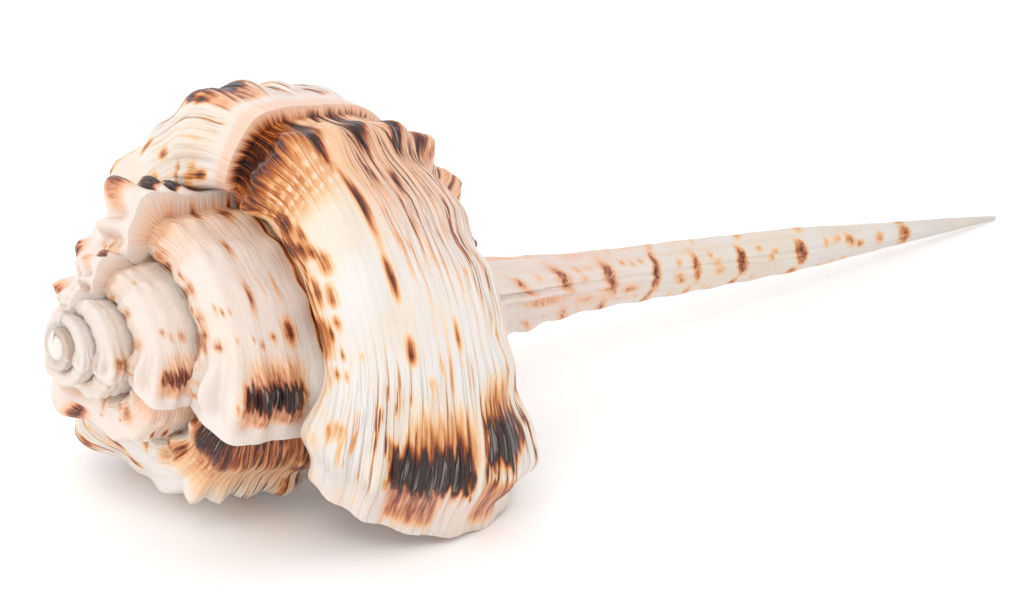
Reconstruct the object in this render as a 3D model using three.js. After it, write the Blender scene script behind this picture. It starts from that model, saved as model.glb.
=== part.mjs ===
import * as THREE from 'three';

// Murex shell, one natural piece: low spire, round body whorl with three varices in each turn,
// open mouth and a long straight siphonal canal. Millimetres, +Z up, canal along +X.
// The surface is a strip that winds round the shell axis. It grows by the same factor in every turn.
// Its rows run from the suture over the shoulder and the base down to the end of the canal.

// Coiling
const GROWTH = 1.84;
const LIPS = [0, -0.31, -0.675, -1.02, -1.335, -1.675, -2.02, -2.345, -2.68, -3.015, -3.35, -3.685, -4.02,
  -4.35];
const LIP_GAP = 0.0016;
const COLUMNS = 24;
const CROWDING = 0.45;

// Outline of the last lip as radius and depth below the spire tip, and where it ends on the first column
const SUTURE = [13.5, 20.5];
const RAMP = [17.5, 17.7];
const SHOULDER = [23.6, 19.9];
const LAST_SHOULDER = [21.5, 20.6];
const PERIPHERY = [24.7, 26.8];
const BASE = [17.6, 38.2];
const CANAL = [[9.3, 42.0], [4.0, 46.4], [2.85, 52.5], [2.5, 60], [2.35, 68], [2.1, 76],
  [1.85, 84.5], [1.3, 93.5], [0.75, 102.5], [0.2, 109.6]];
const INNER = [[5.4, 26.5], [3.5, 35.5], [3.0, 47]];
const CANAL_TIP = 110;
const CANAL_CURVE = 1.5;
const CANAL_CURVE_TURN = 0.6;
const CANAL_CURVE_POWER = 1.3;
const LAST_SEAM = [0.95, 0.88];
// The third whorl bulges, and the first ones are wider and stand higher than the later growth would make them
const BULGE = 0.12;
const BULGE_SIZE = 0.44;
const BULGE_WIDTH = 0.1;
const EARLY_WIDTH = 0.9;
const EARLY_WIDTH_SIZE = 0.162;
const EARLY_RISE = 1.3;
const EARLY_RISE_SIZE = 0.21;

// Rows over the outline: one unit for each outline point, so 4 is the next suture
const SEAM = 4;
const ROWS = 14;
const EARLY_LIP = 6;
const BASE_ROWS = [4.3, 4.6, 4.95, 5.3, 5.65, 6, 6.4, 6.8, 7.2, 7.6];
const CANAL_ROWS = [8.1, 8.7, 9.3, 9.9, 10.5, 11.1, 11.7, 12.3, 12.8, 13.3, 13.8, 14.3, 14.7, 15];
const CANAL_STEP = 3;
const MOUTH_ROW = 7.2;

// Varices, ribs and their knobs
const VARIX = 2.2;
const CREST = 0.86;
const CREST_BACK = 0.11;
const CREST_FRONT = 0.06;
const LIP_HEIGHT = 0.5;
const LAST_LIP_HEIGHT = 0.32;
const FOOT = 0.1;
const VARIX_SIZES = [1, 0.92, 1.6, 1.5, 2.5, 2.2, 1.7, 2.4, 2.3, 1.9];
const RIB_PLACES = [0.115, 0.3, 0.5, 0.66];
const RIB_WIDTHS = [0.05, 0.05, 0.06, 0.05];
const RIB_SIZES = [[0.75, 0.12, 0.1, 0], [0.8, 0.5, 0.45, 0.2], [0.5, 0.85, 0.3, 0.2], [0.4, 0.3, 0.25, 0.15],
  [1.4, 1.5, 0.8, 0.3], [0.5, 0.5, 0.3, 0.15]];
const LOW_RIB = 0.8;
const LOW_RIB_ROW = 5;
const KNOBS = 7;
const KNOB_SHARE = 0.3;
const EARLY_KNOB_SHARE = 0.5;
const EARLY_KNOB_LIP = 3;
const RIB_KNOB_SHARE = 0.55;
const SHOULDER_KNOB = 0.4;

// Mouth and canal slit
const LIP_ADVANCE = 0.15;
const COLLAR_ADVANCE = 0.215;
const COLLAR = 2;
const COLLAR_WIDTH = 0.045;
const SLIT_DEPTH = 0.62;
const THROAT = [15.0, 28.3];
const THROAT_RADII = [6.4, 7.6];
// Rings of the mouth: how far round they lie, how near the round throat, and how wide
const MOUTH_RINGS = [[-0.002, 0.22, 1], [0.001, 0.62, 1.04], [0.012, 0.85, 1.02], [0.04, 0.97, 1],
  [0.1, 1, 1], [0.16, 1, 1], [0.22, 1, 1], [0.28, 1, 0.97], [0.33, 1, 0.82], [0.36, 1, 0.48]];

// How it lies: turned about its own axis, and the tail lowered
const ROLL = -57.9;
const TAIL_DOWN = 10.5;

const TAU = 2 * Math.PI;
const mix = (a, b, f) => a + (b - a) * f;
const smooth = (a, b, x) => {
  const f = Math.min(1, Math.max(0, (x - a) / (b - a)));
  return f * f * (3 - 2 * f);
};
const bell = (x, width) => Math.exp(-((x / width) ** 2));

// Size across the axis, and depth lost, where the shell has grown to size q
const wider = (q) => BULGE * bell(q - BULGE_SIZE, BULGE_WIDTH) + EARLY_WIDTH * bell(q, EARLY_WIDTH_SIZE);
const width = (q) => q * (1 + wider(q));
const rise = (q) => EARLY_RISE * Math.exp(-((q / EARLY_RISE_SIZE) ** 4));

// Outline points for a column: q is its size, 1 at the last lip
function outlinePoints(q, start) {
  const age = Math.min(1, Math.max(0, (q - 1 / GROWTH) / (1 - 1 / GROWTH)));
  const late = smooth(0.545, 0.7, q);
  const last = smooth(0.84, 1, q);
  const shoulder = [mix(SHOULDER[0], LAST_SHOULDER[0], last), mix(SHOULDER[1], LAST_SHOULDER[1], last)];
  const nextSuture = SUTURE.map((v, i) => v * GROWTH * mix(1, LAST_SEAM[i], late));
  const points = [SUTURE, RAMP, shoulder, PERIPHERY, nextSuture, BASE].map((p, i) => {
    const later = GROWTH ** (Math.min(i, SEAM) / SEAM);
    return [p[0] * width(q * later) / later, p[1] * q - rise(q * later)];
  });
  if (start) points[0] = start;
  CANAL.forEach((p, i) => {
    const inner = INNER[i] ?? p;
    points.push([mix(inner[0], p[0], age), mix(inner[1], p[1], age)]);
  });
  return points;
}

// Smooth curve through the outline points, s counts the points
function along(points, s) {
  const last = points.length - 1;
  const i = Math.min(last - 1, Math.max(0, Math.floor(s)));
  const u = s - i;
  const p1 = points[i];
  const p2 = points[i + 1];
  const p0 = points[i - 1] ?? [2 * p1[0] - p2[0], 2 * p1[1] - p2[1]];
  const p3 = points[i + 2] ?? [2 * p2[0] - p1[0], 2 * p2[1] - p1[1]];
  return [0, 1].map((k) => 0.5 * (2 * p1[k] + (p2[k] - p0[k]) * u
    + (2 * p0[k] - 5 * p1[k] + 4 * p2[k] - p3[k]) * u * u
    + (3 * p1[k] - p0[k] - 3 * p2[k] + p3[k]) * u * u * u));
}

// Height of the varix at x, the share of the way from the lip before to this lip
function varixHeight(x, lip) {
  const atLip = lip === 0 ? LAST_LIP_HEIGHT : LIP_HEIGHT;
  const front = atLip + (1 - atLip) * bell(x - CREST, CREST_FRONT);
  const height = x < CREST ? bell(x - CREST, CREST_BACK) : front;
  return height * VARIX_SIZES[Math.min(lip, VARIX_SIZES.length - 1)] - FOOT * bell(x, 0.05);
}

// Height of the ribs between the varices
function ribHeight(x, lip) {
  const sizes = RIB_SIZES[Math.min(lip, RIB_SIZES.length - 1)];
  return RIB_PLACES.reduce((height, at, i) => height + sizes[i] * bell(x - at, RIB_WIDTHS[i]), 0);
}

// How much of the height stands up at row s
function fade(s) {
  const left = 1 - 0.25 * bell(s - 3.5, 0.7) - 0.52 * smooth(5, 7, s) - 0.34 * smooth(7, 9, s)
    - 0.14 * smooth(11, 14, s);
  return smooth(0, 1.1, s) * left * (1 + SHOULDER_KNOB * bell(s - 2, 0.4));
}

// A knob where each main cord crosses
function knobbed(s, share) {
  const knob = 0.5 - 0.5 * Math.cos(TAU * s * KNOBS / SEAM);
  return 1 - share + 1.6 * share * knob;
}

// One column for every place along the strip
const columns = [];
for (let k = LIPS.length - 1; k > 0; k--) {
  const from = LIPS[k] + LIP_GAP;
  const to = LIPS[k - 1] - (k > 1 ? LIP_GAP : 0);
  for (let j = 0; j < COLUMNS; j++) {
    const u = j / (COLUMNS - 1);
    const x = u - CROWDING * Math.sin(TAU * u) / TAU;
    columns.push({ turn: mix(from, to, x), x, lip: k - 1, early: k > EARLY_LIP, rows: [], base: [] });
  }
}
const PER_TURN = 3 * COLUMNS;
const END = columns.length - 1;
const FIRST = columns.length - PER_TURN;

const vertices = [];
const faces = [];

function addVertex(rho, depth, turn) {
  const bend = CANAL_CURVE * Math.max(0, (depth - 44) / (CANAL_TIP - 44)) ** CANAL_CURVE_POWER;
  vertices.push([rho * Math.cos(TAU * turn) + bend * Math.cos(TAU * CANAL_CURVE_TURN),
    rho * Math.sin(TAU * turn) + bend * Math.sin(TAU * CANAL_CURVE_TURN), depth]);
  return { id: vertices.length - 1, rho, depth, turn };
}

function face(...corners) {
  const ids = corners.map((c) => c.id);
  for (let i = 1; i < ids.length - 1; i++) {
    const corner = [ids[0], ids[i], ids[i + 1]];
    if (new Set(corner).size === 3) faces.push(...corner);
  }
}

// A point on the outside of the shell
function surfacePoint(column, index, s, start) {
  const q = GROWTH ** column.turn;
  const points = outlinePoints(q, start && [start.rho, start.depth]);
  const [rho, depth] = along(points, s);
  const ahead = along(points, s + 0.02);
  const behind = along(points, Math.max(0, s - 0.02));
  const run = [ahead[0] - behind[0], ahead[1] - behind[1]];
  const norm = Math.hypot(...run);
  const size = VARIX * q * smooth(0.1, 0.25, q);
  const rib = ribHeight(column.x, column.lip) * (1 + LOW_RIB * bell(s - LOW_RIB_ROW, 0.9));
  const share = column.lip < EARLY_KNOB_LIP ? KNOB_SHARE : EARLY_KNOB_SHARE;
  let lift = size * fade(s) * (varixHeight(column.x, column.lip) * knobbed(s, share)
    + rib * knobbed(s, RIB_KNOB_SHARE));
  const way = (index - FIRST) / (PER_TURN - 1);
  let shift = 0;
  if (s > SEAM) {
    const lipShift = LIP_ADVANCE * smooth(4.4, 7.2, s);
    const collarShift = COLLAR_ADVANCE * smooth(4, 6.6, s);
    shift = mix(collarShift, lipShift, way);
    lift += COLLAR * bell(way, COLLAR_WIDTH) * smooth(4, 4.7, s) * (1 - smooth(6.6, 8, s));
  }
  if (start) shift += (start.turn + 1 - column.turn) * (1 - smooth(0, 0.9, s));
  return [rho + lift * run[1] / norm, depth - lift * run[0] / norm, column.turn + shift];
}

// Winding strip: every row from a suture to the next, sharing the suture with the turn before
columns.forEach((column, c) => {
  const count = column.early ? ROWS / 2 : ROWS;
  const above = columns[c - PER_TURN];
  const start = above?.rows.at(-1);
  for (let r = 0; r <= count; r++) {
    if (r === 0 && start) column.rows.push(start);
    else column.rows.push(addVertex(...surfacePoint(column, c, SEAM * r / count, start)));
  }
});
for (let c = 0; c < END; c++) {
  const a = columns[c].rows;
  const b = columns[c + 1].rows;
  if (a.length === b.length) {
    for (let r = 0; r < a.length - 1; r++) face(a[r], b[r], b[r + 1], a[r + 1]);
  } else {
    for (let r = 0; r < a.length - 1; r++) {
      face(a[r], b[2 * r], b[2 * r + 1]);
      face(a[r], b[2 * r + 1], a[r + 1]);
      face(a[r + 1], b[2 * r + 1], b[2 * r + 2]);
    }
  }
}

// Base and canal: the last turn goes on below the suture
const lastTurn = columns.slice(FIRST);
const pick = lastTurn.map((_, i) => i).filter((i) => i % CANAL_STEP === 0 && i < PER_TURN - 2);
pick.push(PER_TURN - 1);
lastTurn.forEach((column, i) => {
  const start = columns[FIRST + i - PER_TURN].rows.at(-1);
  column.base.push(column.rows.at(-1));
  BASE_ROWS.forEach((s) => column.base.push(addVertex(...surfacePoint(column, FIRST + i, s, start))));
});
for (let i = 0; i < PER_TURN - 1; i++) {
  const a = lastTurn[i].base;
  const b = lastTurn[i + 1].base;
  for (let r = 0; r < a.length - 1; r++) face(a[r], b[r], b[r + 1], a[r + 1]);
}

// Canal rows have fewer columns, and the slit runs down them as a narrow groove
const canal = CANAL_ROWS.map((s) => pick.map((i) => addVertex(...surfacePoint(lastTurn[i], FIRST + i, s))));
const fine = lastTurn.map((column) => column.base.at(-1));
for (let i = 0; i < pick.length - 1; i++) {
  const middle = (pick[i] + pick[i + 1]) >> 1;
  for (let j = pick[i]; j < middle; j++) face(fine[j], fine[j + 1], canal[0][i]);
  face(fine[middle], canal[0][i + 1], canal[0][i]);
  for (let j = middle; j < pick[i + 1]; j++) face(fine[j], fine[j + 1], canal[0][i + 1]);
}
for (let r = 0; r < canal.length - 1; r++) {
  for (let i = 0; i < pick.length - 1; i++) {
    face(canal[r][i], canal[r][i + 1], canal[r + 1][i + 1], canal[r + 1][i]);
  }
}

function slit(lip, collar, open) {
  const turn = (lip.turn + collar.turn + 1) / 2;
  const deep = 1 - SLIT_DEPTH * open;
  const wall = mix(1, deep, 0.55);
  return [
    addVertex(lip.rho * wall, mix(lip.depth, collar.depth, 0.2), mix(lip.turn, turn, 0.15)),
    addVertex((lip.rho + collar.rho) / 2 * deep, (lip.depth + collar.depth) / 2, turn),
    addVertex(collar.rho * wall, mix(collar.depth, lip.depth, 0.2), mix(collar.turn + 1, turn, 0.15)),
  ];
}
const mouthRow = BASE_ROWS.indexOf(MOUTH_ROW) + 1;
const lipSide = [...lastTurn.at(-1).base.slice(mouthRow), ...canal.map((row) => row.at(-1))];
const collarSide = [...lastTurn[0].base.slice(mouthRow), ...canal.map((row) => row[0])];
const grooves = lipSide.map((lip, r) => {
  const closing = smooth(0.8, 1, r / (lipSide.length - 1));
  return slit(lip, collarSide[r], 1 - 0.8 * closing);
});
const across = lipSide.map((lip, r) => [lip, ...grooves[r], collarSide[r]]);
for (let r = 0; r < across.length - 1; r++) {
  for (let j = 0; j < 4; j++) face(across[r][j], across[r][j + 1], across[r + 1][j + 1], across[r + 1][j]);
}

// Rounded end of the canal
const tip = addVertex(0, CANAL_TIP, 0);
const lastRow = [...canal.at(-1), ...grooves.at(-1), canal.at(-1)[0]];
for (let i = 0; i < lastRow.length - 1; i++) face(lastRow[i], lastRow[i + 1], tip);

// Mouth: rings go back into the body whorl from the lip and the collar, and close
const rim = [...lastTurn.at(-1).base.slice(0, mouthRow + 1).reverse(),
  ...lastTurn.at(-1).rows.slice(0, -1).reverse(),
  ...lastTurn[0].base.slice(0, mouthRow + 1), ...grooves[0].slice().reverse()];
const rimAngles = rim.map((p) => Math.atan2(p.depth - THROAT[1], p.rho - THROAT[0]));
let ring = rim;
MOUTH_RINGS.forEach(([back, blend, width]) => {
  const q = GROWTH ** -back;
  const next = rim.map((p, i) => {
    const turn = p.turn > -0.5 ? p.turn : p.turn + 1;
    const rho = (THROAT[0] + THROAT_RADII[0] * width * Math.cos(rimAngles[i])) * q;
    const depth = (THROAT[1] + THROAT_RADII[1] * width * Math.sin(rimAngles[i])) * q;
    return addVertex(mix(p.rho, rho, blend), mix(p.depth, depth, blend), mix(turn, 0, blend) - back);
  });
  ring.forEach((p, i) => {
    const j = (i + 1) % ring.length;
    face(p, ring[j], next[j], next[i]);
  });
  ring = next;
});
const endQ = GROWTH ** -0.37;
const throatEnd = addVertex(THROAT[0] * endQ, THROAT[1] * endQ, -0.37);
ring.forEach((p, i) => face(p, ring[(i + 1) % ring.length], throatEnd));

// Spire tip: a small dome over the first turn
const firstEdge = [columns[PER_TURN].rows[0], ...columns.slice(0, PER_TURN).map((c) => c.rows[0]).reverse(),
  ...columns[0].rows.slice(1, -1)];
const domeTop = addVertex(0, firstEdge.reduce((sum, p) => Math.min(sum, p.depth), 99) - 0.5, 0);
const dome = firstEdge.map((p) => addVertex(p.rho * 0.62, mix(p.depth, domeTop.depth, 0.62), p.turn));
firstEdge.forEach((p, i) => {
  const j = (i + 1) % firstEdge.length;
  face(p, firstEdge[j], dome[j], dome[i]);
  face(dome[i], dome[j], domeTop);
});

const geometry = new THREE.BufferGeometry();
geometry.setAttribute('position', new THREE.Float32BufferAttribute(vertices.flat(), 3));
geometry.setIndex(faces);

// Lay it down: the shell axis goes along +X, then the tail sinks and the lowest point meets the ground
const degrees = Math.PI / 180;
geometry.rotateZ(ROLL * degrees);
geometry.rotateY(90 * degrees);
geometry.rotateY(TAIL_DOWN * degrees);
geometry.computeBoundingBox();
const box = geometry.boundingBox;
geometry.translate(-(box.min.x + box.max.x) / 2, -(box.min.y + box.max.y) / 2, -box.min.z);
geometry.computeVertexNormals();

const material = new THREE.MeshStandardMaterial({ color: 0xf1e2d3, roughness: 0.38, metalness: 0 });
const shell = new THREE.Mesh(geometry, material);
shell.name = 'murex_shell';

const group = new THREE.Group();
group.name = 'murex';
group.add(shell);

export default group;
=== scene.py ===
"""Murex shell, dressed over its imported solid.

The shell is one natural piece. Its surface is a strip that winds round the shell axis and grows in
every turn. Grids are wrapped on that strip, joined and welded into one closed skin, with the fine
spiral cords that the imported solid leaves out. The colours follow the direction of growth.

Shell axes: x and y lie across the shell axis, z runs from the spire tip to the end of the canal.
A turn is one full round of growth, and the last lip is at turn 0. A row counts the outline points,
so row 0 is a suture, row 4 the next one, and row 15 the end of the canal. Sizes are in millimetres.
"""

from __future__ import annotations

import logging
import math
from dataclasses import dataclass, field
from enum import Enum

import bpy
import numpy as np
from mathutils import Matrix, Vector

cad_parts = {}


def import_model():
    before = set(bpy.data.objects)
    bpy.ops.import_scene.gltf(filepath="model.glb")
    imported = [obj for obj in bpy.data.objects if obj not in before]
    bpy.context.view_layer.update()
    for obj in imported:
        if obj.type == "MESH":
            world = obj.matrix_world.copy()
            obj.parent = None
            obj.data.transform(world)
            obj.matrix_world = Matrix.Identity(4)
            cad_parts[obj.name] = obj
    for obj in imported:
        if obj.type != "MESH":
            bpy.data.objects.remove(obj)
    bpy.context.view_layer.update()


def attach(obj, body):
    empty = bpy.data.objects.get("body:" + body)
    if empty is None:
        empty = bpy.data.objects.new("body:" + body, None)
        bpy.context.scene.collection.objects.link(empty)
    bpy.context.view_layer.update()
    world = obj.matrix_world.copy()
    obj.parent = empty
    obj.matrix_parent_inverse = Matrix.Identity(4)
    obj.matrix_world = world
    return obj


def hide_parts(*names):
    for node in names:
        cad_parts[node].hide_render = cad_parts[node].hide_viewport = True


LOG = logging.getLogger("murex")
TAU = 2 * math.pi
MM = 0.001


def mix(low: np.ndarray | float, high: np.ndarray | float, share: np.ndarray | float) -> np.ndarray:
    """Goes from low to high as share goes from 0 to 1."""
    return low + (high - low) * share


def ease(low: float, high: float, value: np.ndarray | float) -> np.ndarray:
    """Rises smoothly from 0 to 1 as value goes from low to high."""
    share = np.clip((value - low) / (high - low), 0, 1)
    return share * share * (3 - 2 * share)


def bell(distance: np.ndarray | float, width: float) -> np.ndarray:
    """Is 1 at no distance and falls off to both sides over the width."""
    return np.exp(-((distance / width) ** 2))


def between(value: np.ndarray, low: float, high: float, soft: float) -> np.ndarray:
    """Is 1 between low and high, with soft ends."""
    return ease(low - soft, low + soft, value) * (1 - ease(high - soft, high + soft, value))


def linear(colour: str) -> tuple[float, float, float, float]:
    """Turns an sRGB hex colour to linear.

    Args:
        colour: six hex digits.

    Returns:
        Red, green, blue and full alpha.
    """
    parts = [int(colour[i : i + 2], 16) / 255 for i in (0, 2, 4)]
    red, green, blue = (c / 12.92 if c <= 0.04045 else ((c + 0.055) / 1.055) ** 2.4 for c in parts)
    return red, green, blue, 1.0


def add_node(tree: bpy.types.NodeTree, kind: str, settings: dict[str, object],
             **inputs: object) -> bpy.types.Node:
    """Adds a node with its settings and links.

    Args:
        tree: the node tree.
        kind: the node's type.
        settings: its own settings, and "stops" with the places and colours of a colour ramp.
        inputs: for an input's name, with _ for a space, or at and its number: a value or an output.

    Returns:
        The node.
    """
    node = tree.nodes.new(kind)
    for name, value in settings.items():
        if name != "stops":
            setattr(node, name, value)
            continue
        for i, (spot, colour) in enumerate(value):
            stop = node.color_ramp.elements[i] if i < 2 else node.color_ramp.elements.new(spot)
            stop.position = spot
            stop.color = linear(colour)
    for name, value in inputs.items():
        socket = node.inputs[int(name[2:]) if name[2:].isdigit() else name.replace("_", " ")]
        if isinstance(value, bpy.types.NodeSocket):
            tree.links.new(value, socket)
        else:
            socket.default_value = value
    return node


def pairs(first: np.ndarray, second: np.ndarray) -> np.ndarray:
    """Pairs every column's value with every row's value."""
    return np.stack(np.meshgrid(first, second, indexing="ij"), -1)


def nothing_selected() -> None:
    """Leaves edit mode and deselects all, because the frame's solid comes in selected."""
    if bpy.context.object and bpy.context.object.mode != "OBJECT":
        bpy.ops.object.mode_set(mode="OBJECT")
    bpy.ops.object.select_all(action="DESELECT")


class Field(Enum):
    """The fields that are painted on the surface, named as their attributes."""

    STAIN = "stain"
    LINES = "lines"
    BLUSH = "blush"
    BEADS = "beads"
    THROAT = "throat"


@dataclass(frozen=True)
class Coiling:
    """How the shell coils: its growth in each turn and where its lips stand, in turns."""

    growth: float = 1.84
    lips: tuple[float, ...] = (0, -0.31, -0.675, -1.02, -1.335, -1.675, -2.02, -2.345, -2.68, -3.015,
                               -3.35, -3.685, -4.02, -4.35, -4.685, -5.02, -5.35)
    lip_gap: float = 0.0016
    columns_per_lip: int = 54
    crowding: float = 0.45
    fine_lips: int = 6

    @property
    def per_turn(self) -> int:
        """Columns in one turn."""
        return 3 * self.columns_per_lip

    def columns(self) -> tuple[np.ndarray, np.ndarray, np.ndarray]:
        """Gives the columns of the strip, from the spire tip to the last lip.

        Returns:
            The turn, the stage (share of the way to the next lip) and that lip's number, one of each
            for a column.
        """
        share = np.linspace(0, 1, self.columns_per_lip)
        stage = share - self.crowding * np.sin(TAU * share) / TAU
        turns = []
        for k in range(len(self.lips) - 1, 0, -1):
            start = self.lips[k] + self.lip_gap
            end = self.lips[k - 1] - (self.lip_gap if k > 1 else 0)
            turns.append(mix(start, end, stage))
        count = len(turns)
        lip = np.repeat(np.arange(count - 1, -1, -1), self.columns_per_lip)
        return np.concatenate(turns), np.tile(stage, count), lip


@dataclass(frozen=True)
class Outline:
    """The outline of the last lip as radius and depth, and how earlier columns differ from it."""

    suture: tuple[float, float] = (13.5, 20.5)
    ramp: tuple[float, float] = (17.5, 17.7)
    shoulder: tuple[float, float] = (23.6, 19.9)
    last_shoulder: tuple[float, float] = (21.5, 20.6)
    periphery: tuple[float, float] = (24.7, 26.8)
    base: tuple[float, float] = (17.6, 38.2)
    canal: tuple[tuple[float, float], ...] = (
        (9.3, 42.0), (4.0, 46.4), (2.85, 52.5), (2.5, 60), (2.35, 68), (2.1, 76),
        (1.85, 84.5), (1.3, 93.5), (0.75, 102.5), (0.2, 109.6))
    inner: tuple[tuple[float, float], ...] = ((5.4, 26.5), (3.5, 35.5), (3.0, 47))
    last_seam: tuple[float, float] = (0.95, 0.88)
    early_width: float = 0.9
    early_width_size: float = 0.162
    bulge: float = 0.12
    bulge_size: float = 0.44
    bulge_width: float = 0.1
    early_rise: float = 1.3
    early_rise_size: float = 0.21
    suture_wave: float = 0.011

    def wave(self, turn: np.ndarray) -> np.ndarray:
        """How the suture wanders up and down round the shell."""
        angle = TAU * turn
        return (np.sin(17 * angle) + 0.7 * np.sin(29 * angle + 1.3) + 0.5 * np.sin(11 * angle + 4)) / 2.2

    def points(self, growth: float, turn: np.ndarray, start: np.ndarray | None) -> np.ndarray:
        """Gives the outline points of some columns.

        Args:
            growth: growth of the shell in one turn.
            turn: the turn of each column.
            start: radius and depth of each column's first point, where a turn lies above it.

        Returns:
            An array of columns, points and radius or depth.
        """
        q = growth**turn
        age = np.clip((q - 1 / growth) / (1 - 1 / growth), 0, 1)
        late = ease(0.545, 0.7, q)
        wave = 1 + self.suture_wave * self.wave(turn) * ease(0.06, 0.2, q)
        seam = [self.suture[i] * growth * wave * (1 - (1 - self.last_seam[i]) * late) for i in range(2)]
        last = ease(0.84, 1, q)
        shoulder = [mix(a, b, last) for a, b in zip(self.shoulder, self.last_shoulder)]
        rows = [self.suture, self.ramp, shoulder, self.periphery, seam, self.base]
        made = []
        for i, (radius, depth) in enumerate(rows):
            later = growth ** (min(i, 4) / 4)
            size = q * later
            bulge = self.bulge * bell(size - self.bulge_size, self.bulge_width)
            wide = size * (1 + bulge + self.early_width * bell(size, self.early_width_size))
            rise = self.early_rise * np.exp(-((size / self.early_rise_size) ** 4))
            made.append(np.stack([radius * wide / later, depth * q - rise], -1))
        if start is not None:
            made[0] = start
        for i, (radius, depth) in enumerate(self.canal):
            young = self.inner[i] if i < len(self.inner) else (radius, depth)
            made.append(np.stack([mix(young[0], radius, age), mix(young[1], depth, age)], -1))
        return np.stack(made, 1)

    @staticmethod
    def along(points: np.ndarray, rows: np.ndarray) -> np.ndarray:
        """Runs a smooth curve through the outline points.

        Args:
            points: outline points of each column.
            rows: where on the curve, in points.

        Returns:
            An array of columns, rows and radius or depth.
        """
        last = points.shape[1] - 1
        i = np.clip(np.floor(rows).astype(int), 0, last - 1)
        u = (rows - i)[None, :, None]
        p1 = points[:, i]
        p2 = points[:, i + 1]
        p0 = np.where((i > 0)[None, :, None], points[:, np.maximum(i - 1, 0)], 2 * p1 - p2)
        p3 = np.where((i + 2 <= last)[None, :, None], points[:, np.minimum(i + 2, last)], 2 * p2 - p1)
        return 0.5 * (2 * p1 + (p2 - p0) * u + (2 * p0 - 5 * p1 + 4 * p2 - p3) * u * u
                      + (3 * p1 - p0 - 3 * p2 + p3) * u * u * u)


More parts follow.
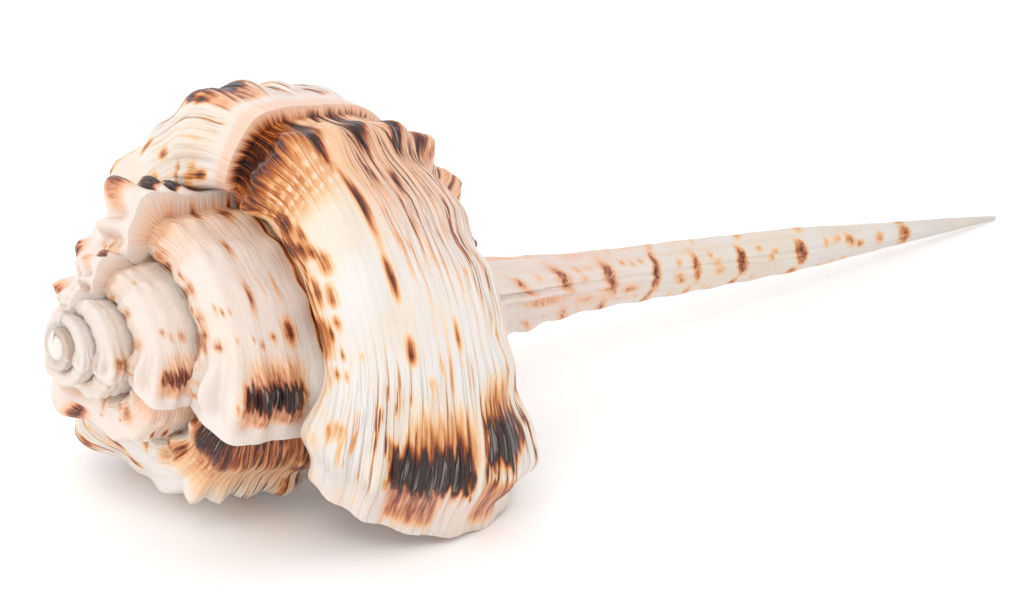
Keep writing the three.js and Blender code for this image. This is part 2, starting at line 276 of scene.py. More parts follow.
@dataclass(frozen=True)
class Relief:
    """Varices, ribs, knobs and cords: what stands up from the smooth coil."""

    varix: float = 2.2
    crest: float = 0.86
    crest_back: float = 0.11
    crest_front: float = 0.06
    lip_height: float = 0.5
    last_lip_height: float = 0.32
    early_lip_height: float = 0.95
    scallop: float = 0.75
    scallop_stage: float = 0.5
    scallop_width: float = 0.36
    foot: float = 0.1
    foot_width: float = 0.05
    varix_sizes: tuple[float, ...] = (1, 0.92, 1.6, 1.5, 2.5, 2.2, 1.7, 2.4, 2.3, 1.9)
    rib_places: tuple[float, ...] = (0.115, 0.3, 0.5, 0.66)
    rib_widths: tuple[float, ...] = (0.05, 0.05, 0.06, 0.05)
    rib_sizes: tuple[tuple[float, ...], ...] = (
        (0.75, 0.12, 0.1, 0), (0.8, 0.5, 0.45, 0.2), (0.5, 0.85, 0.3, 0.2), (0.4, 0.3, 0.25, 0.15),
        (1.4, 1.5, 0.8, 0.3), (0.5, 0.5, 0.3, 0.15))
    low_rib: float = 0.62
    low_rib_row: float = 5
    low_rib_width: float = 0.9
    smooth_rim: float = 0.85
    smooth_rim_stages: tuple[float, float] = (0.9, 0.98)
    knobs: float = 7
    knob_share: float = 0.3
    early_knob_share: float = 0.5
    early_knob_lip: int = 3
    rib_knob_share: float = 0.42
    shoulder_knob: float = 0.4
    shoulder_row: float = 2
    shoulder_width: float = 0.4
    suture_clear: float = 1.1
    seam_dip: float = 0.25
    seam_dip_row: float = 3.5
    seam_dip_width: float = 0.7
    drops: tuple[tuple[float, float, float], ...] = ((5, 7, 0.52), (7, 9, 0.34), (11, 14, 0.14))
    cords: float = 7
    cord_height: float = 0.035
    cord_on_rib: float = 0.17
    cord_after_lip: float = 0.2
    flange: float = 0.4
    flange_turn: float = -0.49
    flange_width: float = 0.03
    flange_rows: tuple[float, float] = (8.2, 12.4)

    def varix_height(self, stage: np.ndarray, lip: np.ndarray) -> np.ndarray:
        """Height of the varices, as a share of the last one.

        Args:
            stage: stage of each column.
            lip: number of each column's lip.

        Returns:
            The height at each column.
        """
        at_lip = np.where(lip == 0, self.last_lip_height, self.lip_height)
        at_lip = mix(at_lip, self.early_lip_height, np.clip((lip - 2) / 3, 0, 1))
        front = at_lip + (1 - at_lip) * bell(stage - self.crest, self.crest_front)
        height = np.where(stage < self.crest, bell(stage - self.crest, self.crest_back), front)
        sizes = np.array(self.varix_sizes)[np.minimum(lip, len(self.varix_sizes) - 1)]
        return height * sizes - self.foot * bell(stage, self.foot_width)

    def rib_height(self, stage: np.ndarray, lip: np.ndarray) -> np.ndarray:
        """Height of the ribs between the varices, as a share of the last varix.

        Args:
            stage: stage of each column.
            lip: number of each column's lip.

        Returns:
            The height at each column.
        """
        sizes = np.array(self.rib_sizes)[np.minimum(lip, len(self.rib_sizes) - 1)]
        places = zip(self.rib_places, self.rib_widths)
        return sum(sizes[:, i] * bell(stage - place, width) for i, (place, width) in enumerate(places))

    def fade(self, rows: np.ndarray) -> np.ndarray:
        """How much of the height stands up at each row: most on the shoulder, least on the canal.

        Args:
            rows: rows of the vertices.

        Returns:
            The share at each row.
        """
        left = 1 - self.seam_dip * bell(rows - self.seam_dip_row, self.seam_dip_width)
        for low, high, drop in self.drops:
            left = left - drop * ease(low, high, rows)
        shoulder = 1 + self.shoulder_knob * bell(rows - self.shoulder_row, self.shoulder_width)
        return ease(0, self.suture_clear, rows) * left * shoulder

    def knobbed(self, rows: np.ndarray, share: np.ndarray | float) -> np.ndarray:
        """A knob where each main cord crosses."""
        knob = 0.5 - 0.5 * np.cos(TAU * rows * self.knobs / 4)
        return 1 - share + 1.6 * share * knob

    def lift(self, stage: np.ndarray, lip: np.ndarray, rows: np.ndarray) -> np.ndarray:
        """Height of varices and ribs, as a share of the last varix.

        Args:
            stage: stage of each column.
            lip: number of each column's lip.
            rows: rows of the vertices.

        Returns:
            The height as columns and rows.
        """
        share = np.where(lip < self.early_knob_lip, self.knob_share, self.early_knob_share)
        share = share * (1 - self.smooth_rim * ease(*self.smooth_rim_stages, stage) * (lip > 0))
        low = 1 + self.low_rib * bell(rows - self.low_rib_row, self.low_rib_width)
        varix = self.varix_height(stage, lip)[:, None] * self.knobbed(rows[None], share[:, None])
        rib = self.rib_height(stage, lip)[:, None] * (low * self.knobbed(rows, self.rib_knob_share))[None]
        return self.fade(rows)[None] * (varix + rib)

    def scalloped(self, stage: np.ndarray, lip: np.ndarray, rows: np.ndarray) -> np.ndarray:
        """How much the early whorls bulge between two lips, as a share of the last varix.

        Args:
            stage: stage of each column.
            lip: number of each column's lip.
            rows: rows of the vertices.

        Returns:
            The bulge as columns and rows.
        """
        early = np.clip((lip - 2) / 4, 0, 1)
        bulge = self.scallop * early * bell(stage - self.scallop_stage, self.scallop_width)
        return bulge[:, None] * (ease(0, 1.3, rows) * (1 - ease(3.2, 4, rows)))[None]

    def cord(self, rows: np.ndarray) -> np.ndarray:
        """Profile of the spiral cords: round tops with a narrow groove between them."""
        return np.abs(np.cos(math.pi * self.cords * rows)) ** 0.7 - 0.75


@dataclass(frozen=True)
class Mark:
    """One patch of colour, placed by turn and row, as long and wide as its two half sizes."""

    turn: float
    row: float
    length: float
    width: float
    tone: float
    slant: float = 0.0
    sharp: float = 2.0


def value_on(marks: tuple[Mark, ...], turn: np.ndarray, row: np.ndarray) -> np.ndarray:
    """Lays the marks over some points, the strongest on top.

    Args:
        marks: the marks of one field.
        turn: turns of the points.
        row: rows of the points.

    Returns:
        The value at each point.
    """
    total = np.zeros(np.broadcast(turn, row).shape)
    for mark in marks:
        along = (turn - mark.turn) / mark.length
        across = (row - mark.row - mark.slant * (turn - mark.turn)) / mark.width
        total = np.maximum(total, mark.tone * np.exp(-((along**2 + across**2) ** (mark.sharp / 2))))
    return total


@dataclass(frozen=True)
class Pigment:
    """Where the snail laid down its colours, by the stage between two lips, the row and the turn.

    The tones of each lip come first, from the last lip back to the spire tip.
    """

    after_tones: tuple[float, ...] = (0.85, 0.8, 0.86, 0.27, 0.72, 0.22, 0.12, 0.12, 0)
    crest_tones: tuple[float, ...] = (1, 1, 1, 1, 0.95, 0.9, 0.72, 0.62, 0.4, 0.4, 0.1, 0)
    line_tones: tuple[float, ...] = (1, 0.9, 0.9, 0.06, 0.05, 0.2, 0.08, 0.06, 0)
    suture_tones: tuple[float, ...] = (0.56, 0.5, 0.5, 0.45, 0.45, 0.4, 0.35, 0.3, 0.15, 0)
    dashes: tuple[Mark, ...] = (
        Mark(-0.22, 2.37, 0.026, 0.065, 0.85), Mark(-0.231, 3.09, 0.016, 0.08, 0.62, -5),
        Mark(-0.168, 2.36, 0.014, 0.055, 0.78), Mark(-0.12, 2.41, 0.008, 0.07, 0.72),
        Mark(-0.127, 3.1, 0.009, 0.045, 0.6), Mark(-0.124, 3.89, 0.008, 0.04, 0.5),
        Mark(-0.174, 3.88, 0.014, 0.035, 0.55), Mark(-0.18, 3.05, 0.01, 0.03, 0.5),
        Mark(-0.226, 4.06, 0.012, 0.04, 0.5), Mark(-0.2, 2.98, 0.012, 0.03, 0.4),
        Mark(-1.245, 2.8, 0.012, 0.07, 0.68), Mark(-1.178, 2.7, 0.016, 0.075, 0.72),
        Mark(-1.135, 3.3, 0.013, 0.09, 0.85), Mark(-1.13, 3.0, 0.005, 0.06, 0.6),
        Mark(-1.125, 2.7, 0.004, 0.06, 0.6), Mark(-1.125, 1.6, 0.006, 0.11, 0.66),
        Mark(-1.19, 3.06, 0.014, 0.02, 0.35), Mark(-1.186, 3.3, 0.014, 0.03, 0.4),
        Mark(-0.058, 1.25, 0.006, 0.1, 0.5), Mark(-2.14, 3.0, 0.01, 0.12, 0.5),
        Mark(-2.14, 2.6, 0.007, 0.1, 0.35), Mark(-2.13, 1.3, 0.014, 0.2, 0.32),
        Mark(-1.17, 1.74, 0.004, 0.05, 0.64), Mark(-1.165, 1.9, 0.004, 0.04, 0.6),
        Mark(-1.166, 2.06, 0.003, 0.03, 0.5), Mark(-1.162, 1.13, 0.008, 0.07, 0.66),
        Mark(-1.12, 1.16, 0.008, 0.08, 0.62), Mark(-1.211, 1.27, 0.012, 0.1, 0.56),
        Mark(-1.237, 1.2, 0.009, 0.09, 0.5), Mark(-1.18, 1.0, 0.008, 0.06, 0.6),
        Mark(-1.128, 1.42, 0.003, 0.03, 0.44), Mark(-1.127, 1.62, 0.003, 0.04, 0.4),
        Mark(-1.128, 1.85, 0.003, 0.03, 0.44), Mark(-1.13, 2.08, 0.003, 0.04, 0.4),
        Mark(-1.128, 2.3, 0.003, 0.03, 0.42), Mark(-1.131, 2.5, 0.003, 0.03, 0.4),
        Mark(-1.112, 1.5, 0.003, 0.03, 0.36), Mark(-1.112, 1.9, 0.003, 0.03, 0.36),
        Mark(-2.15, 2.3, 0.006, 0.1, 0.5), Mark(-2.215, 1.2, 0.012, 0.16, 0.45),
        Mark(-2.27, 2.2, 0.006, 0.12, 0.36))
    blotches: tuple[Mark, ...] = (
        Mark(-0.284, 2.33, 0.034, 0.1, 1.0, -2.2, 3), Mark(-0.287, 3.08, 0.032, 0.12, 1.0, -6, 3),
        Mark(-0.3, 2.78, 0.02, 0.06, 0.85, -6, 3), Mark(-0.27, 3.62, 0.018, 0.08, 0.95, -3, 3),
        Mark(-0.268, 4.1, 0.014, 0.09, 0.7, 0, 3), Mark(-0.232, 3.95, 0.02, 0.05, 0.7, -9),
        Mark(-0.236, 1.12, 0.02, 0.2, 0.75), Mark(-0.205, 1.16, 0.008, 0.13, 0.8),
        Mark(-0.212, 0.9, 0.01, 0.12, 0.85), Mark(-0.345, 1.0, 0.008, 0.09, 0.7),
        Mark(-1.33, 2.4, 0.018, 0.3, 0.36), Mark(-1.322, 3.0, 0.022, 0.11, 0.72, -6),
        Mark(-1.31, 3.42, 0.024, 0.13, 0.6, -4), Mark(-1.29, 1.2, 0.02, 0.25, 0.38),
        Mark(-1.27, 0.95, 0.012, 0.16, 0.6), Mark(-1.14, 1.2, 0.01, 0.16, 0.6),
        Mark(-1.166, 1.25, 0.01, 0.16, 0.42), Mark(-0.93, 1.15, 0.02, 0.2, 0.75),
        Mark(-0.88, 1.1, 0.022, 0.25, 0.4), Mark(-0.968, 3.65, 0.012, 0.2, 0.75),
        Mark(-0.86, 0.4, 0.03, 0.15, 0.6), Mark(-1.93, 1.3, 0.014, 0.3, 0.5),
        Mark(-1.755, 1.9, 0.014, 0.25, 0.85), Mark(-0.765, 1.65, 0.012, 0.07, 0.85),
        Mark(-3.08, 2.4, 0.012, 0.35, 0.55), Mark(-5.2, 2.0, 0.3, 2.0, 0.1),
        Mark(-1.508, 1.9, 0.016, 0.2, 0.75), Mark(-1.572, 1.85, 0.012, 0.2, 0.5),
        Mark(-0.41, 1.4, 0.008, 0.1, 0.6), Mark(-0.09, 4.3, 0.01, 0.08, 0.95),
        Mark(-0.37, 1.4, 0.05, 0.4, 0.1, 0, 4), Mark(-0.162, 1.4, 0.008, 0.11, 0.6),
        Mark(-0.168, 1.13, 0.013, 0.09, 0.78), Mark(-0.14, 1.38, 0.006, 0.09, 0.5),
        Mark(-0.188, 1.45, 0.01, 0.13, 0.58), Mark(-0.201, 1.33, 0.007, 0.1, 0.7),
        Mark(-0.215, 1.3, 0.012, 0.1, 0.68), Mark(-0.063, 1.4, 0.004, 0.13, 0.5),
        Mark(-0.119, 1.37, 0.004, 0.05, 0.62), Mark(-0.113, 1.5, 0.003, 0.03, 0.6),
        Mark(-0.113, 1.6, 0.003, 0.04, 0.55), Mark(-0.119, 1.7, 0.003, 0.03, 0.48),
        Mark(-0.12, 1.8, 0.003, 0.03, 0.45), Mark(-0.101, 1.42, 0.003, 0.04, 0.5),
        Mark(-0.1, 1.22, 0.004, 0.08, 0.55), Mark(-0.134, 1.2, 0.006, 0.08, 0.66),
        Mark(-0.309, 3.2, 0.008, 1.1, 0.46, 0, 4), Mark(-0.262, 2.98, 0.012, 0.05, 0.8, -3),
        Mark(-0.262, 4.28, 0.012, 0.05, 0.7, -3), Mark(-0.255, 3.8, 0.014, 0.05, 0.75, -4),
        Mark(-1.379, 2.26, 0.021, 0.43, 0.84, 0, 4), Mark(-2.38, 2.44, 0.02, 0.55, 0.6, 0, 4))
    bars: tuple[Mark, ...] = (
        Mark(-0.349, 8.25, 0.09, 0.07, 0.62, 0.6, 3), Mark(-0.32, 8.82, 0.13, 0.07, 0.66, 0.5, 3),
        Mark(-0.315, 9.48, 0.17, 0.055, 0.7, 0.1, 4), Mark(-0.3, 10.12, 0.13, 0.06, 0.58, 0.4, 3),
        Mark(-0.29, 10.85, 0.13, 0.08, 0.66, 0.3, 4), Mark(-0.285, 11.76, 0.13, 0.09, 0.62, 0.4, 4),
        Mark(-0.33, 12.5, 0.08, 0.07, 0.5, 0.5), Mark(-0.27, 12.66, 0.05, 0.06, 0.42),
        Mark(-0.3, 12.95, 0.09, 0.06, 0.42), Mark(-0.29, 13.33, 0.17, 0.09, 0.5, 0, 4))
    spots: tuple[Mark, ...] = (
        Mark(-0.39, 8.45, 0.02, 0.04, 0.45), Mark(-0.395, 8.6, 0.02, 0.03, 0.45),
        Mark(-0.4, 9.02, 0.02, 0.03, 0.42), Mark(-0.385, 9.15, 0.02, 0.03, 0.42),
        Mark(-0.395, 9.27, 0.02, 0.02, 0.38), Mark(-0.22, 9.12, 0.03, 0.12, 0.45),
        Mark(-0.35, 9.85, 0.03, 0.05, 0.36), Mark(-0.22, 9.9, 0.03, 0.08, 0.42),
        Mark(-0.37, 10.35, 0.03, 0.04, 0.36), Mark(-0.25, 10.5, 0.04, 0.08, 0.36),
        Mark(-0.37, 11.1, 0.03, 0.05, 0.42), Mark(-0.29, 11.3, 0.05, 0.06, 0.34),
        Mark(-0.34, 12.15, 0.06, 0.05, 0.34), Mark(-0.346, 7.66, 0.03, 0.06, 0.52, 2),
        Mark(-0.3, 7.77, 0.02, 0.05, 0.5, 2), Mark(-0.37, 7.95, 0.02, 0.04, 0.38),
        Mark(-0.235, 7.95, 0.03, 0.3, 0.36, 0, 4), Mark(-0.2, 8.5, 0.03, 0.12, 0.42),
        Mark(-0.24, 8.75, 0.02, 0.05, 0.42), Mark(-0.33, 8.5, 0.02, 0.04, 0.36),
        Mark(-0.26, 9.85, 0.03, 0.08, 0.4), Mark(-0.33, 10.45, 0.02, 0.04, 0.4),
        Mark(-0.3, 10.45, 0.03, 0.05, 0.38), Mark(-0.33, 11.35, 0.03, 0.05, 0.38),
        Mark(-0.36, 12.3, 0.05, 0.05, 0.4), Mark(-0.415, 10.2, 0.008, 2.4, 0.17, 0, 4))
    bar_repeats: tuple[float, ...] = (-0.3, -0.56, 0.26)
    pink_folds: tuple[Mark, ...] = (Mark(-0.275, 0.5, 0.045, 0.16, 1.0, -2.5, 4),)
    body_ends: tuple[float, float] = (5.6, 7.6)
    hidden_lips: tuple[int, ...] = (1, 2, 5)
    hidden_dashes: int = 14
    hidden_stages: tuple[float, float] = (0.25, 0.72)
    hidden_lengths: tuple[float, float] = (0.006, 0.02)
    hidden_rows: tuple[float, float] = (1.2, 5.0)
    hidden_widths: tuple[float, float] = (0.04, 0.08)
    hidden_tone: float = 0.7
    seed: int = 5

    def tone(self, tones: tuple[float, ...], lip: np.ndarray) -> np.ndarray:
        """One lip's tone for each column."""
        return np.array(tones)[np.minimum(lip, len(tones) - 1)][:, None]

    def more_dashes(self, lips: tuple[float, ...]) -> tuple[Mark, ...]:
        """Dashes for the sides that the photograph doesn't show, spread with a fixed seed.

        Args:
            lips: turns of all lips.

        Returns:
            The dashes.
        """
        draw = np.random.default_rng(self.seed)
        made = []
        for lip in self.hidden_lips:
            for _ in range(self.hidden_dashes):
                turn = mix(lips[lip + 1], lips[lip], draw.uniform(*self.hidden_stages))
                length = draw.uniform(*self.hidden_lengths)
                row = draw.uniform(*self.hidden_rows)
                made.append(Mark(turn, row, length, draw.uniform(*self.hidden_widths), self.hidden_tone))
        return tuple(made)

    def after_lip(self, stage: np.ndarray, lip: np.ndarray, rows: np.ndarray) -> np.ndarray:
        """The brown zone that follows each lip, darkest near the suture.

        Args:
            stage: stage of each column.
            lip: number of each column's lip.
            rows: rows of the vertices.

        Returns:
            The tone as columns and rows.
        """
        zone = 0.5 * (1 - ease(0.09, 0.16, stage)) + 0.5 * (1 - ease(0.18, 0.34, stage))
        far = ease(-0.01, 0.05, stage) * (1 - ease(0.16, 0.44, stage))
        zone = np.maximum(zone, (1 - ease(0.12, 0.26, stage)) * bell(rows - 1, 0.3))
        core = between(rows, 0.8, 2.45, 0.3) * (0.64 + 0.38 * bell(rows - 1.4, 0.5))
        earlier = between(rows, 1.05, 3.8, 0.2) * (0.64 + 0.34 * bell(rows - 1.6, 0.6))
        last = (lip == 0)[:, None]
        ground = np.where(last, 0.27, 0.02) * between(rows, 2.2, 5.4, 0.5) * far
        return np.maximum(self.tone(self.after_tones, lip) * zone * np.where(last, core, earlier), ground)

    def crest(self, stage: np.ndarray, lip: np.ndarray, rows: np.ndarray) -> np.ndarray:
        """The dark patches on the varices, with a rusty fringe before them and a red one below.

        Args:
            stage: stage of each column.
            lip: number of each column's lip.
            rows: rows of the vertices.

        Returns:
            The tone as columns and rows.
        """
        is_last = (lip == 0)[:, None]
        ragged = 0.07 * np.sin(60 * rows + 40 * stage) + 0.05 * np.sin(37 * rows - 90 * stage)
        edge = stage + 0.16 * ragged
        across = rows + 0.6 * ragged * np.sin(50 * stage)
        last = np.maximum(between(across, 2.12, 3.12, 0.05), between(across, 3.38, 4.05, 0.05))
        next_lip = between(across, 1.92, 2.52, 0.05)
        earlier = between(across, 2.1, 3.4, 0.1)
        by_row = np.where(is_last, last, np.where((lip == 1)[:, None], next_lip, earlier))
        edge = edge + np.where(is_last, 0.05 * ease(3.1, 3.6, rows), 0)
        edge = edge - 0.05 * (lip == 4)[:, None]
        patch = between(edge, 0.8, 0.885, 0.018) * by_row * (0.86 + 0.14 * ease(2.2, 2.6, rows))
        wide = between(rows, 2.35, 3.2, 0.2) + between(rows, 3.4, 4.0, 0.15)
        wide = np.where(is_last, wide, between(rows, 2.3, 3.4, 0.2))
        fringe = 0.5 * ease(0.68, 0.81, edge) * (1 - ease(0.8, 0.88, stage)) * wide
        halves = between(rows, 2.2, 2.8, 0.06) + between(rows, 3.36, 3.9, 0.08)
        low = np.where(is_last, 0.48 * halves, 0.38 * by_row)
        below = between(stage, 0.87, 0.975, 0.02) * low
        return self.tone(self.crest_tones, lip) * np.maximum(np.maximum(patch, fringe), below)

    def fields(self, turn: np.ndarray, stage: np.ndarray, lip: np.ndarray, rows: np.ndarray,
               lips: tuple[float, ...]) -> dict[Field, np.ndarray]:
        """Paints every field on some columns.

        Args:
            turn: turn of each column.
            stage: stage of each column.
            lip: number of each column's lip.
            rows: rows of the vertices.
            lips: turns of all lips.

        Returns:
            Each field's value as columns and rows.
        """
        turn, stage, rows = turn[:, None], stage[:, None], rows[None]
        on_body = 1 - ease(*self.body_ends, rows)
        plain = 1 - between(stage, 0.935, 1.03, 0.012) * (lip > 0)[:, None] * between(rows, 0.3, 6, 0.3)
        peach = 0.15 * between(stage, 0.965, 1.03, 0.012) * ((lip == 1) | (lip == 2))[:, None]
        stain = np.maximum(self.after_lip(stage, lip, rows), self.crest(stage, lip, rows)) * on_body
        stain = np.maximum(stain, self.suture_line(turn, lip, rows))
        stain = np.maximum(stain, self.marked(turn, rows, lips))
        stain = np.maximum(stain * plain, peach * between(rows, 0.3, 6, 0.3))
        lines = self.thin_lines(stage, lip, rows, on_body) * plain
        last = (lip == 0)[:, None]
        beads = np.where(last, 1, 0.5) * between(stage, 0.15, 0.24, 0.03) * between(rows, 0.9, 2.3, 0.25)
        return {Field.STAIN: np.clip(stain, 0, 1), Field.LINES: np.clip(lines, 0, 1),
                Field.BLUSH: np.clip(self.blush(turn, stage, lip, rows), 0, 1), Field.BEADS: beads}

    def suture_line(self, turn: np.ndarray, lip: np.ndarray, rows: np.ndarray) -> np.ndarray:
        """The broken brown line along the suture, and the thin wavy one that follows it.

        Args:
            turn: turn of each column.
            lip: number of each column's lip.
            rows: rows of the vertices.

        Returns:
            The tone as columns and rows.
        """
        last = (lip == 0)[:, None]
        tone = self.tone(self.suture_tones, lip)
        broken = np.sin(TAU * 13 * turn) + 0.8 * np.sin(TAU * 23 * turn + 1) + 0.5 * np.sin(TAU * 41 * turn)
        broken = mix(ease(0.1, 1.2, broken), 1, np.where(last, 0.55 + 0.2 * broken, 0.05))
        line = tone * (1 - ease(0.98, 1.3 + 0.1 * broken, rows)) * broken
        wavy = 0.97 + 0.05 * np.sin(TAU * 19 * turn) + 0.035 * np.sin(TAU * 43 * turn + 2)
        line = np.maximum(line, np.where(last, 0.62 + 0.1 * broken, 0.2) * bell(rows - wavy, 0.045))
        line = line * (1 - 0.75 * last * ease(-0.14, -0.07, turn))
        above = 1.5 * tone * bell(rows - 3.76, 0.05) * (turn < -1)
        return np.maximum(line, above)

    def marked(self, turn: np.ndarray, rows: np.ndarray, lips: tuple[float, ...]) -> np.ndarray:
        """Lays all single marks, with the canal's bars once more on its other sides.

        Args:
            turn: turn of each column.
            rows: rows of the vertices.
            lips: turns of all lips.

        Returns:
            The tone as columns and rows.
        """
        canal = (*self.bars, *self.spots)
        again = [Mark(m.turn + shift, m.row + 0.02 * shift, m.length, m.width, m.tone * 0.8, m.slant, m.sharp)
                 for m in canal for shift in self.bar_repeats]
        marks = (*self.blotches, *canal, *again, *self.dashes, *self.more_dashes(lips))
        return value_on(marks, turn, rows)

    def thin_lines(self, stage: np.ndarray, lip: np.ndarray, rows: np.ndarray,
                   on_body: np.ndarray) -> np.ndarray:
        """How strongly the grooves between the cords are lined with brown.

        Args:
            stage: stage of each column.
            lip: number of each column's lip.
            rows: rows of the vertices.
            on_body: 1 on the whorls and 0 on the canal, for each row.

        Returns:
            The strength as columns and rows.
        """
        last = (lip == 0)[:, None]
        near = ease(2.3, 2.9, rows) * (1 - ease(0.2, 0.65, stage))
        near = np.maximum(near, 0.85 * ease(3.2, 3.8, rows) * (1 - ease(0.35, 0.8, stage)))
        near = near * (1 - 0.5 * ease(4.6, 6, rows))
        near = near * (1 - 0.6 * last * between(rows, 0.8, 2.6, 0.3) * (1 - ease(0.1, 0.2, stage)))
        before = 0.8 * ease(0.5, 0.8, stage) * ease(1.1, 2.1, rows)
        lines = np.maximum(np.maximum(near, before), 0.15 * ease(1.7, 2.4, rows)) * on_body
        lines = lines * self.tone(self.line_tones, lip) * (1 - 0.65 * last * ease(0.86, 0.92, stage))
        white_stripe = last * between(rows, 3.16, 3.34, 0.05) * ease(0.7, 0.8, stage)
        return lines * (1 - 0.9 * white_stripe)

    def blush(self, turn: np.ndarray, stage: np.ndarray, lip: np.ndarray, rows: np.ndarray) -> np.ndarray:
        """Where the shell is flesh pink and its pigment mauve, instead of cream and golden.

        Args:
            turn: turn of each column.
            stage: stage of each column.
            lip: number of each column's lip.
            rows: rows of the vertices.

        Returns:
            The strength as columns and rows.
        """
        last = (lip == 0)[:, None]
        rim_tone = np.where(last, 0.35, np.where(lip[:, None] < 3, 1, 0.45))
        rim = between(stage, 0.95, 1.03, 0.015) * rim_tone * between(rows, 0.6, 5, 0.3)
        below = 0.85 * between(stage, 0.88, 0.97, 0.02) * between(rows, 1.9, 4.2, 0.2)
        back = np.where(last, 0.9 * between(rows, 2.5, 5.4, 0.4) * (1 - ease(0.3, 0.6, stage)), 0)
        whorls = 0.55 * (lip > 2)[:, None] * between(stage, 0.05, 0.5, 0.12) * between(rows, 0.8, 3.0, 0.4)
        root = 0.6 * ease(5, 8, rows) + 0.3 * bell(rows - 8.2, 0.7) - 0.55 * ease(8.6, 11.5, rows)
        root = root + 0.4 * bell(turn + 0.5, 0.05) * between(rows, 8, 13, 0.3)
        root = root * (rows >= 4)
        fold = value_on(self.pink_folds, turn, rows)
        early = 0.75 * between(-turn, 1.0, 2.9, 0.2) * between(rows, 0.8, 3.4, 0.5)
        early = np.maximum(early, 0.5 * ease(2.6, 3.2, -turn))
        return np.maximum.reduce(np.broadcast_arrays(rim, below, back, whorls, root, fold, early))


